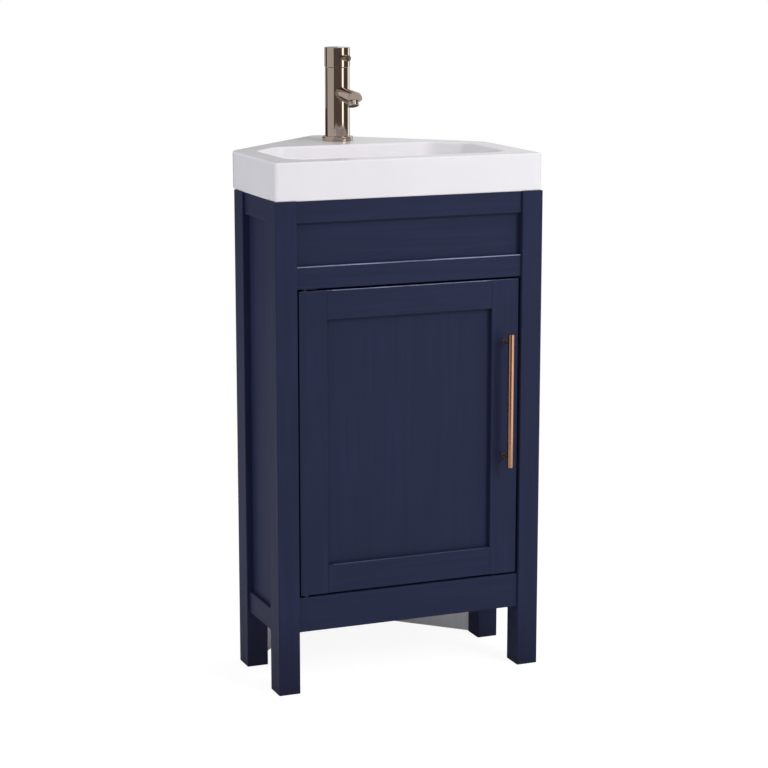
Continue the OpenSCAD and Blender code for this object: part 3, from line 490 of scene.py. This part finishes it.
BASIN_X = BASIN_HIGH.x
BASIN_Y = BASIN_LOW.y
APEX_R = 20 * MM
BASIN_SUM = BASIN_HIGH.y + APEX_R * (ROOT2 - 1)
CORNER_R = 4.5 * MM
REAR_R = 50 * MM
EDGE_R = 2.5 * MM
APRON_WALL = 14 * MM
BACK_WALL = 30 * MM
DECK_T = 12 * MM
BOWL_RIM = 40.5 * MM
BOWL_D = 253.5 * MM
BOWL_DEPTH = 110 * MM
BOWL_CORNER_R = 34 * MM
BOWL_FILLET_R = 45 * MM
BOWL_LIP_R = 4 * MM
BOWL_DRAFT = tan(radians(8))
BOWL_WALL = 9 * MM
BOWL_WALL_D = BOWL_DEPTH - BOWL_FILLET_R
BOWL_FALL = 2.5 * MM
BOWL_LOW_Z = DECK_Z - BOWL_DEPTH - BOWL_FALL
FOOT_Z = BOWL_LOW_Z - BOWL_WALL
UNDERSIDE_CORNER_R = 5 * MM
FLANGE_R = 32 * MM
DRAIN_HOLE_R = 23 * MM
FAUCET_HOLE_R = 17 * MM
CORNER_STEPS = 14
# How far a cutting shape goes past the face that it cuts
PAST = 1 * MM


def basin_ring(inset, z):
    """The basin's plan, drawn in by an inset, at a height."""
    x, total = BASIN_X - inset, BASIN_SUM - inset * ROOT2
    corner = max(CORNER_R - inset, 0.5 * MM)
    outline = rounded(
        with_mirror([(x, BASIN_Y + inset), (x, total - x), (0, total)]),
        [corner, REAR_R - inset, APEX_R - inset, REAR_R - inset, corner], CORNER_STEPS,
    )
    return [(px, py, z) for px, py in outline]


def bowl_ring(inset, z):
    """The bowl's plan at the deck, drawn in by an inset, at a height."""
    x, back = BASIN_X - BOWL_RIM - inset, BASIN_Y + BOWL_D - inset
    total = BASIN_SUM - (BOWL_RIM + inset) * ROOT2
    outline = rounded(
        with_mirror([(x, BASIN_Y + BOWL_RIM + inset), (x, total - x), (total - back, back)]),
        [max(BOWL_CORNER_R - inset, 8 * MM)] * 6, CORNER_STEPS,
    )
    return [(px, py, z) for px, py in outline]


def bowl_rings(grow, steps):
    """The bowl's fillet from its bottom up, larger all round by grow."""
    rings = []
    for i in range(steps + 1):
        a = radians(90 * (1 - i / steps))
        inset = BOWL_WALL_D * BOWL_DRAFT + BOWL_FILLET_R - (BOWL_FILLET_R + grow) * cos(a)
        rings.append(bowl_ring(inset, DECK_Z - BOWL_WALL_D - (BOWL_FILLET_R + grow) * sin(a)))
    return rings


def disc_mesh(x, y, z0, z1, r, r_top=None, steps=96):
    outline = [(0, z0), (r, z0), (r if r_top is None else r_top, z1), (0, z1)]
    return placed(lathe_mesh("column", outline, steps), Matrix.Translation((x, y, 0)))


def make_basin():
    steps = 6
    quarter = [radians(90 * i / steps) for i in range(steps + 1)]
    low = [
        basin_ring(EDGE_R * (1 - sin(a)), CABINET_TOP + EDGE_R * (1 - cos(a))) for a in quarter]
    high = [
        basin_ring(EDGE_R * (1 - sin(a)), DECK_Z - EDGE_R * (1 - cos(a))) for a in reversed(quarter)]
    block = loft_mesh("block", low + high)
    x, total = BASIN_X - APRON_WALL, BASIN_SUM - BACK_WALL * ROOT2
    plan = rounded(
        with_mirror([(x, BASIN_Y + APRON_WALL), (x, total - x), (0, total)]),
        [UNDERSIDE_CORNER_R] * 5, 6,
    )
    hollow_z = (CABINET_TOP - PAST, DECK_Z - DECK_T)
    underside = loft_mesh("underside", [[(px, py, z) for px, py in plan] for z in hollow_z])
    shell_top = DECK_T / 2
    shell = loft_mesh("shell", bowl_rings(BOWL_WALL, 10) + [
        bowl_ring(shell_top * BOWL_DRAFT - BOWL_WALL, DECK_Z - shell_top)])
    foot = disc_mesh(0, DRAIN_Y, FOOT_Z, BOWL_LOW_Z, FLANGE_R + BOWL_WALL)
    lip_steps = 8
    lip = []
    for i in range(lip_steps + 1):
        a = radians(90 * i / lip_steps)
        inset = BOWL_LIP_R * (BOWL_DRAFT - 1 + cos(a))
        lip.append(bowl_ring(inset, DECK_Z - BOWL_LIP_R * (1 - sin(a))))
    lip.append(bowl_ring(BOWL_LIP_R * (BOWL_DRAFT - 1), DECK_Z + 2 * PAST))
    hollow = loft_mesh("hollow", bowl_rings(0, 14) + lip)
    dish = disc_mesh(
        0, DRAIN_Y, BOWL_LOW_Z, BOWL_LOW_Z + BOWL_FALL + PAST, FLANGE_R + 1 * MM, FLANGE_R + 10 * MM)
    drain_hole = disc_mesh(0, DRAIN_Y, FOOT_Z - PAST, BOWL_LOW_Z + PAST, DRAIN_HOLE_R)
    faucet_hole = disc_mesh(0, FAUCET_Y, DECK_Z - DECK_T - PAST, DECK_Z + PAST, FAUCET_HOLE_R)
    mesh = combine(block, [underside], "DIFFERENCE")
    mesh = combine(mesh, [shell, foot], "UNION")
    mesh = combine(mesh, [hollow, dish, drain_hole, faucet_hole], "DIFFERENCE")
    add_piece("glazed_basin", mesh, GLAZE, "cabinet", "white_glaze", "basin", smooth=32)


make_basin()


# ---- Turned and cut pieces ----

def side(r, z0, z1, low=0.5, high=0.5):
    """The side of a turned piece with rounded edges, in millimetres, from low to high."""
    return [*arc((r - low, z0 + low), low, -90, 0, 4), *arc((r - high, z1 - high), high, 0, 90, 4)]


def thread(r, z0, z1, pitch, depth):
    """The side of a threaded length, as rings, with its crests at radius r."""
    return [
        p for i in range(int((z1 - z0) / pitch))
        for p in ((r - depth, z0 + i * pitch), (r, z0 + (i + 0.5) * pitch))
    ]


def turned(outline, place=Matrix(), steps=96):
    """A piece turned about its Z axis from (radius, height) points in millimetres."""
    return placed(lathe_mesh("turned", [(r * MM, z * MM) for r, z in outline], steps), place)


def rod(r, z0, z1, place=Matrix(), steps=64, edge=0.0):
    """A plain cylinder in millimetres, with its edges rounded where edge is given."""
    ends = side(r, z0, z1, edge, edge) if edge else [(r, z0), (r, z1)]
    return turned([(0, z0), *ends, (0, z1)], place, steps)


def cuboid(low, high, place=Matrix()):
    """A plain block, in millimetres, for cutting with."""
    points = [(x * MM, y * MM, z * MM) for z in (low[2], high[2]) for x, y in (
        (low[0], low[1]), (high[0], low[1]), (high[0], high[1]), (low[0], high[1]))]
    sides = [(i, (i + 1) % 4, 4 + (i + 1) % 4, 4 + i) for i in range(4)]
    faces = [(0, 3, 2, 1), (4, 5, 6, 7), *sides]
    return placed(mesh_from("cuboid", points, faces), place)


def at(x, y, z, angle=0, axis="X"):
    """A place in metres, with a turn about one axis in degrees."""
    return Matrix.Translation((x, y, z)) @ Matrix.Rotation(radians(angle), 4, axis)


ON_DECK = at(0, FAUCET_Y, DECK_Z)

# The faucet, in millimetres from its axis and above the deck
RING_R, RING_H = 26.5, 8
BODY_R, BODY_TOP = 21, 124.55
SHANK_R = 15
CARTRIDGE_R, CARTRIDGE_Z = 17, 86.55
PIVOT_Z = 130.45
CAP_R, CAP_Z, CAP_TOP = 21.75, 125.45, 158.45
CAP_BORE_R, CAP_ROOF = 18.75, 137.95
CAP_TILT = 19
LEVER_UP, SCREW_UP = 16.5, 17.5
SPOUT_SLOPE, SPOUT_REACH, SPOUT_Z = 6, 83, 83.75
SPOUT_ROOT_R = 10
OUTLET_REACH, OUTLET_Z, OUTLET_TILT = 75.5, 63.75, 22
MOUTH_SLOPE = 27


def faucet_body():
    base = turned([(SHANK_R, 0), *side(RING_R, 0, RING_H, 0.3, 1.0), (SHANK_R, RING_H)], ON_DECK)
    add_piece("deck_ring", base, NICKEL, "cabinet", "brushed_nickel", "faucet_base_ring")
    body = turned([
        (0, RING_H), *side(BODY_R, RING_H, BODY_TOP, 0.25, 0.3),
        (CARTRIDGE_R, BODY_TOP), (CARTRIDGE_R, CARTRIDGE_Z), (0, CARTRIDGE_Z),
    ], ON_DECK)
    add_piece("turned_body", body, NICKEL, "cabinet", "brushed_nickel", "faucet_body")


def faucet_cap():
    outline = [
        (0, CAP_ROOF), (CAP_BORE_R, CAP_ROOF), (CAP_BORE_R, CAP_Z),
        *side(CAP_R, CAP_Z, CAP_TOP, 0.3, 0.8), (0, CAP_TOP)]
    pivot = at(0, FAUCET_Y, DECK_Z + PIVOT_Z * MM, CAP_TILT)
    relief = cuboid((-44, 0, -49.2), (44, 66, -5.7), pivot)
    hole = rod(2.5, 3, 24, at(0, FAUCET_Y, DECK_Z + (CAP_Z + SCREW_UP) * MM, -90), 32)
    cap = combine(turned(outline, ON_DECK, 128), [relief, hole], "DIFFERENCE")
    add_piece("turned_cap", cap, NICKEL, "lever", "brushed_nickel", "handle_cap")
    place = at(0, FAUCET_Y, DECK_Z + (CAP_Z + LEVER_UP) * MM, 90)
    pin = [(0, 11.75), (3.75, 11.75), (3.75, 22.2), *arc((5.1, 51), 0.5, 0, 90, 4), (0, 51.5)]
    lever = turned(pin, place, 48)
    add_piece("turned_lever", lever, NICKEL_ARM, "lever", "brushed_nickel", "lever_pin")
    place = at(0, FAUCET_Y, DECK_Z + (CAP_Z + SCREW_UP) * MM, -90)
    key = turned([(0, 18.2), (1.3, 18.2), (1.3, 22), (0, 22)], place, 6)
    screw = combine(rod(2.45, 4.5, 20.25, place, 32, 0.3), [key], "DIFFERENCE")
    add_piece("socket_screw", screw, STEEL, "lever", "zinc_steel", "cap_screw")


def faucet_spout():
    length = SPOUT_REACH / cos(radians(SPOUT_SLOPE))
    end = [*arc((12.35, length - 0.9), 0.9, 12, 90, 5), (0, length)]
    place = at(0, FAUCET_Y, DECK_Z + SPOUT_Z * MM, 90 + SPOUT_SLOPE)
    blank = turned([(0, 0), (SPOUT_ROOT_R, 0), *end], place, 128)
    body = rod(BODY_R - 0.1, 40, 124, ON_DECK, 128)
    low = (SPOUT_Z - SPOUT_REACH * tan(radians(SPOUT_SLOPE))) * MM
    place = at(0, FAUCET_Y - SPOUT_REACH * MM, DECK_Z + low, -MOUTH_SLOPE)
    mouth = cuboid((-26.5, -1, -53), (26.5, 52, 0), place)
    tip = at(0, FAUCET_Y - OUTLET_REACH * MM, DECK_Z + OUTLET_Z * MM, -OUTLET_TILT)
    spout = combine(blank, [body, mouth, rod(10.05, -2, 14, tip, 96)], "DIFFERENCE")
    add_piece(
        "tapered_spout", spout, NICKEL_ARM, "cabinet", "brushed_nickel", "faucet_spout", smooth=30)
    outline = [
        (0, 3.2), (8, 3.2), (8, 0.3), (8.3, 0), (9.5, 0), (10, 0.4), (10, 3.4), (9.6, 3.7),
        (9.6, 4.2), (10, 4.5), (10, 14), (0, 14)]
    add_piece("aerator_shell", turned(outline, tip), NICKEL, "cabinet", "brushed_nickel", "aerator")
    ridges = [(1 + 0.5 * i, 2.4 - 0.35 * (i % 2)) for i in range(14)]
    screen = turned([(0, 2.4), *ridges, (7.9, 2.4), (7.9, 3.1), (0, 3.1)], tip, 64)
    add_piece("aerator_screen", screen, SCREEN, "cabinet", "black_steel")


def faucet_mounting():
    outline = [
        (0, -58), (14, -58), *thread(SHANK_R, -57.5, -23.5, 1.5, 0.6), (SHANK_R, -23),
        (SHANK_R, RING_H), (0, RING_H)]
    ports = [rod(4.5, -60, -38, at(s * 6.5 * MM, FAUCET_Y, DECK_Z), 32) for s in (-1, 1)]
    shank = combine(turned(outline, ON_DECK), ports, "DIFFERENCE")
    add_piece("threaded_shank", shank, BRASS, "cabinet", "plain_brass", "faucet_shank", smooth=25)
    prism = rod(21, -23, -15, ON_DECK, 6)
    crown = [(0, -23), (18.4, -23), (21.1, -21.4), (21.1, -16.6), (18.4, -15), (0, -15)]
    nut = combine(prism, [turned(crown, ON_DECK)], "INTERSECT")
    nut = combine(nut, [rod(SHANK_R, -24, -14, ON_DECK)], "DIFFERENCE")
    add_piece("hexagon_nut", nut, BRASS, "cabinet", "plain_brass", "mounting_nut", smooth=25)


def drain():
    place = at(0, DRAIN_Y, BOWL_LOW_Z)
    flange = [(31.7, 0), (32, 0.4), *arc((30.2, 1.2), 1.8, 0, 90, 6)]
    outline = [
        (18, -62), (21, -62), *thread(22, -61.5, -26, 2.0, 0.8), (22, -25), (22, 0), *flange,
        (17.4, 3), *arc((17.4, 2.1), 0.9, 90, 180, 3), (16.5, -50), (18, -50)]
    spokes = [
        cuboid((6, -1.25, -38), (17, 1.25, -33), place @ Matrix.Rotation(radians(turn), 4, "Z"))
        for turn in (90, 210, 330)]
    hub = turned([(4.08, -38), *side(7, -38, -33), (4.08, -33)], place, 48)
    body = combine(turned(outline, place), [hub, *spokes], "UNION")
    add_piece("threaded_drain", body, NICKEL, "cabinet", "brushed_nickel", "drain_body", smooth=25)
    place = at(0, DRAIN_Y, BOWL_LOW_Z + 3 * MM)
    dome_r, dome_top = 75.4, 7
    dome = [
        (x, dome_top - dome_r + sqrt(dome_r ** 2 - x * x)) for x in (26.6, 25, 22, 18, 14, 10, 6, 3)]
    rim = [(26.7, 0), (27, 0.3), (27, 1.7)]
    outline = [(0, -48), (3.5, -48), (4, -47.5), (4, 0), *rim, *dome, (0, dome_top)]
    stopper = turned(outline, place, 128)
    add_piece("domed_stopper", stopper, NICKEL, "stopper", "brushed_nickel", "pop_up_stopper")


# The door's pull and the catch, in metres
PULL_SCREW_INSET = 15 * MM
DOOR_T = 20 * MM
CATCH_SCREW_UP = 15 * MM


def door_pull():
    x, y = ((BAR_LOW[i] + BAR_HIGH[i]) / 2 for i in (0, 1))
    z0, z1 = BAR_LOW.z / MM, BAR_HIGH.z / MM
    bar = rod(5, z0, z1, at(x, y, 0), 64, 0.7)
    add_piece("pull_bar", bar, BRONZE, "door", "satin_bronze", "handle_bar")
    face = RAIL_FACE_Y / MM - y / MM
    posts = []
    inset = PULL_SCREW_INSET / MM
    for z in (z0 + inset, z1 - inset):
        outline = [(0, 2), (3.5, 2), (3.5, face - 1), (3.9, face - 0.4), (4, face), (0, face)]
        posts.append(turned(outline, at(x, y, z * MM, -90), 48))
    posts = joined("pull_posts", posts)
    add_piece("pull_posts", posts, BRONZE_POST, "door", "satin_bronze", "handle_posts")


def joined(name, meshes):
    work = bmesh.new()
    for mesh in meshes:
        work.from_mesh(mesh)
        bpy.data.meshes.remove(mesh)
    mesh = bpy.data.meshes.new(name)
    work.to_mesh(mesh)
    work.free()
    return mesh


def cross_screw(place, shank_r, length, head):
    """A screw along Z with its head outwards from 0 and a cross recess in it."""
    outline = [(0, -length), (shank_r * 0.6, -length), (shank_r, 1.5 - length), (shank_r, 0), *head]
    screw = turned(outline, place, 48)
    reach, half = 2, 0.4
    plus = [
        (reach, half), (half, half), (half, reach), (-half, reach), (-half, half), (-reach, half)]
    plus += [(-x, -y) for x, y in plus]
    top = head[-1][1]
    heights = (top - 1.3, top + 1)
    recess = loft_mesh("recess", [[(x * MM, y * MM, z * MM) for x, y in plus] for z in heights])
    recess = placed(recess, place @ Matrix.Rotation(radians(45), 4, "Z"))
    return combine(screw, [recess], "DIFFERENCE")


def screws():
    x = (BAR_LOW.x + BAR_HIGH.x) / 2
    back = RAIL_FACE_Y + DOOR_T
    pan = [(4, 0), (4, 0.8), *arc((2.4, 0.9), 1.6, 0, 90, 5), (0, 2.5)]
    heights = (BAR_LOW.z + PULL_SCREW_INSET, BAR_HIGH.z - PULL_SCREW_INSET)
    pair = [cross_screw(at(x, back, z, -90), 2, 30, pan) for z in heights]
    add_piece("pan_head_screws", joined("pan", pair), STEEL, "door", "zinc_steel", "handle_screws")
    low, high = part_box("magnetic_catch")
    y, z = (low.y + high.y) / 2, (low.z + high.z) / 2
    sunk = [(1.75, 0.1), (3.45, 2.4), (0, 2.45)]
    pair = joined("sunk", [
        cross_screw(at(low.x + 2.5 * MM, y, z + up, -90, "Y"), 1.75, 25.5, sunk)
        for up in (-CATCH_SCREW_UP, CATCH_SCREW_UP)
    ])
    add_piece("sunk_head_screws", pair, STEEL, "cabinet", "zinc_steel", "catch_screws")
    plates = [
        cuboid(
            (low.x / MM + a, low.y / MM - 0.1, low.z / MM + 4),
            (low.x / MM + a + 1.4, low.y / MM + 6, high.z / MM - 4),
        ) for a in (4, 10.5)]
    add_piece("catch_pole_plates", joined("plates", plates), STEEL, "cabinet", "zinc_steel")


def bar_along_x(x0, x1, section):
    """A bar along X with a (y, z) section in metres."""
    return loft_mesh("bar", [[(x, y, z) for y, z in section] for x in (x0, x1)])


# Rounding of the top front edges, how far from the middle they end, and the skins' thickness
RAIL_EDGE_R = 1.5 * MM
DOOR_EDGE_R = 1 * MM
STILE_EDGE_R = 0.4 * MM
RAIL_END_X = 193 * MM
STILE_INNER_X, STILE_OUTER_X = 134 * MM, 188 * MM
SKIN_OVER, SKIN_UNDER = 0.04 * MM, 0.3 * MM


def highlight_skin(x0, x1, low, high, r):
    """A skin over the rounded top front edge of the box from low to high, which carries a painted
    highlight.
    """
    centre = (low.y + r, high.z - r)
    section = arc(centre, r + SKIN_OVER, 180, 90, 6) + arc(centre, r - SKIN_UNDER, 90, 180, 6)
    return bar_along_x(x0, x1, section)


# Painted highlights: light skins over the top front edges of the mid rail and of the door's top and
# bottom rails.
def edges():
    low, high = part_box("mid_rail")
    skin = highlight_skin(-RAIL_END_X, RAIL_END_X, low, high, RAIL_EDGE_R)
    add_piece("mid_rail_edge_highlight", skin, EDGE_HIGHLIGHT, "cabinet", "navy_paint", smooth=40)
    low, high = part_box("door_top_rail")
    inner, outer = STILE_INNER_X, STILE_OUTER_X
    skins = joined("door_top_edge_highlight", [
        highlight_skin(-inner, inner, low, high, DOOR_EDGE_R),
        highlight_skin(-outer, -inner, low, high, STILE_EDGE_R),
        highlight_skin(inner, outer, low, high, STILE_EDGE_R),
    ])
    add_piece("door_top_edge_highlight", skins, EDGE_HIGHLIGHT, "door", "navy_paint", smooth=40)
    low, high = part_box("door_bottom_rail")
    skin = highlight_skin(-inner, inner, low, high, DOOR_EDGE_R)
    add_piece("door_bottom_edge_highlight", skin, FAINT_EDGE_HIGHLIGHT, "door", "navy_paint", smooth=40)


STOP_LEFT_X, STOP_RIGHT_X = -150 * MM, 172 * MM
STOP_GAP = 0.5 * MM
STOP_T = 8 * MM
STOP_STEP = 1 * MM
STOP_BELOW, STOP_ABOVE = 9 * MM, 16 * MM


def door_stop_and_gap_shade():
    """A dark strip behind the mid rail, which the top of the closed door lies against; its black
    fills the gap above the door as painted shade.
    """
    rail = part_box("mid_rail")
    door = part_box("door_top_rail")[1]
    front, back = door.y + STOP_GAP, rail[1].y + STOP_T
    step = rail[0].z + STOP_STEP
    foot, top = rail[0].z - STOP_BELOW, step + STOP_ABOVE
    section = [
        (rail[1].y, step), (front, step), (front, foot), (back, foot), (back, top), (rail[1].y, top)]
    strip = bar_along_x(STOP_LEFT_X, STOP_RIGHT_X, section)
    add_piece("door_stop_shade_strip", strip, RUBBER, "cabinet", "black_rubber")


faucet_body()
faucet_cap()
faucet_spout()
faucet_mounting()
drain()
door_pull()
screws()
edges()
door_stop_and_gap_shade()


# ---- Floor, lights and studio ----

def light_path(tree, *rays):
    """1 for any of the named kinds of ray."""
    path = tree.nodes.new("ShaderNodeLightPath")
    value = path.outputs[rays[0]]
    for ray in rays[1:]:
        node = tree.nodes.new("ShaderNodeMath")
        node.operation = "MAXIMUM"
        tree.links.new(value, node.inputs[0])
        tree.links.new(path.outputs[ray], node.inputs[1])
        value = node.outputs["Value"]
    return value


AMBIENT = 0.46
FLOOR_DIFFUSE = 0.22
FLOOR_GLOW = 0.9
FLOOR_REACH = 12


def make_world():
    world = bpy.data.worlds.new("studio")
    bpy.context.scene.world = world
    world.use_nodes = True
    tree = world.node_tree
    background = tree.nodes["Background"]
    background.inputs["Color"].default_value = (1, 1, 1, 1)
    strength = tree.nodes.new("ShaderNodeMix")
    strength.data_type = "FLOAT"
    seen = light_path(tree, "Is Camera Ray", "Is Glossy Ray", "Is Transmission Ray")
    tree.links.new(seen, strength.inputs["Factor"])
    strength.inputs["A"].default_value = AMBIENT
    strength.inputs["B"].default_value = 1.0
    tree.links.new(strength.outputs["Result"], background.inputs["Strength"])


def make_floor():
    s = Shader("pale_floor")
    seen = light_path(s.tree, "Is Camera Ray")
    middle = s.tree.nodes.new("ShaderNodeVectorMath")
    middle.operation = "LENGTH"
    s.tree.links.new(s.coords, middle.inputs[0])
    near = s.span(middle.outputs["Value"], 0.7, 2.2, 1.0, 0.0)
    cloud = s.noise(s.coords, scale=3, detail=3)
    pale = s.ramp(cloud, (0.3, (0.86, 0.86, 0.86, 1)), (0.7, (0.89, 0.89, 0.89, 1)))
    seen_grey = s.mix(near, (0, 0, 0, 1), (FLOOR_DIFFUSE,) * 3 + (1,))
    s.set(Base_Color=s.mix(seen, pale, seen_grey), Roughness=0.8, Emission_Color=(1, 1, 1, 1))
    glow = s.span(near, 0.0, 1.0, 1.0, FLOOR_GLOW)
    s.set(Emission_Strength=s.maths("MULTIPLY", glow, seen), Specular_IOR_Level=0.0)
    a = FLOOR_REACH
    mesh = mesh_from("floor", [(-a, -a, 0), (a, -a, 0), (a, a, 0), (-a, a, 0)], [(0, 1, 2, 3)])
    floor = bpy.data.objects.new("floor", mesh)
    mesh.materials.append(s.material)
    bpy.context.scene.collection.objects.link(floor)


def softbox(name, at, target, size, power, colour=(1, 1, 1)):
    """An area light that reflections don't see."""
    light = bpy.data.lights.new(name, "AREA")
    light.shape = "RECTANGLE"
    light.size, light.size_y = size
    light.energy = power
    light.color = colour
    obj = bpy.data.objects.new(name, light)
    obj.location = at
    obj.rotation_euler = (Vector(target) - Vector(at)).to_track_quat("-Z", "Y").to_euler()
    obj.visible_glossy = False
    bpy.context.scene.collection.objects.link(obj)


def studio_card(name, radius, turn, heights, grey):
    """An upright curved card that only reflections see; turn is in degrees from the front."""
    steps = ceil((turn[1] - turn[0]) / 6)
    points, faces = [], []
    for i in range(steps + 1):
        a = radians(turn[0] + (turn[1] - turn[0]) * i / steps)
        points += [(radius * sin(a), -radius * cos(a), z) for z in heights]
        if i:
            faces.append((2 * i - 2, 2 * i, 2 * i + 1, 2 * i - 1))
    mesh = mesh_from(name, points, faces)
    material = bpy.data.materials.new(name)
    material.use_nodes = True
    tree = material.node_tree
    tree.nodes.clear()
    emission = tree.nodes.new("ShaderNodeEmission")
    emission.inputs["Color"].default_value = (*grey, 1)
    output = tree.nodes.new("ShaderNodeOutputMaterial")
    tree.links.new(emission.outputs["Emission"], output.inputs["Surface"])
    mesh.materials.append(material)
    card = bpy.data.objects.new(name, mesh)
    bpy.context.scene.collection.objects.link(card)
    card.visible_camera = False
    card.visible_diffuse = False
    card.visible_shadow = False
    card.visible_transmission = False


make_world()
make_floor()
softbox("key", (1.65, -2.9, 2.4), (0, -0.1, 0.6), (1.2, 1.2), 49)
softbox("fill_left", (-3.0, -0.3, 0.8), (0, -0.1, 0.5), (1.6, 1.6), 17, (0.98, 1.0, 1.12))
softbox("top", (0.5, -0.6, 3.0), (0, 0, 0.8), (1.4, 1.4), 8)
# Cards by their direction as seen from above: 0 is the front, 90 the right and -90 the left
CARD_R, CARD_TOP = 4.2, 4.2
CARD_HEIGHTS = (0, CARD_TOP)
studio_card("card_back_right", CARD_R, (-220, -200.3), CARD_HEIGHTS, (0.68, 0.68, 0.68))
studio_card("card_back", CARD_R, (-200.3, -186), CARD_HEIGHTS, (0.28, 0.28, 0.28))
DARK, PALE = (0.06, 0.055, 0.05), (0.7, 0.66, 0.63)
for card, turn, split in (
    ("far", (-184, -172), 1.35), ("mid", (-172, -150), 0.6), ("near", (-150, -128), 1.35),
):
    studio_card("card_back_left_low_" + card, 4.3, turn, (0, split), DARK)
    studio_card("card_back_left_" + card, 4.3, turn, (split, CARD_TOP), PALE)
studio_card("card_left", CARD_R, (-127, -57), CARD_HEIGHTS, (0.74, 0.72, 0.7))
studio_card("card_by_camera", 4.6, (-55, 23), CARD_HEIGHTS, (0.145, 0.12, 0.108))
studio_card("card_key", CARD_R, (25, 40), CARD_HEIGHTS, (2.9, 2.84, 2.7))
studio_card("card_right", 4.4, (44, 96), CARD_HEIGHTS, (0.108, 0.096, 0.09))
studio_card("card_right_rim", CARD_R, (97, 120), CARD_HEIGHTS, (1.9, 1.86, 1.8))
studio_card("card_right_edge", CARD_R, (120, 140), CARD_HEIGHTS, (0.3, 0.29, 0.28))
# Low cards near the object, for the door's pull
LOW_CARD_R, LOW_CARD_HEIGHTS = 1.9, (0, 0.34)
studio_card("card_low_left", LOW_CARD_R, (-50, 7), LOW_CARD_HEIGHTS, (0.14, 0.12, 0.1))
studio_card("card_low_right", LOW_CARD_R, (8, 76), LOW_CARD_HEIGHTS, (1.5, 1.6, 1.7))
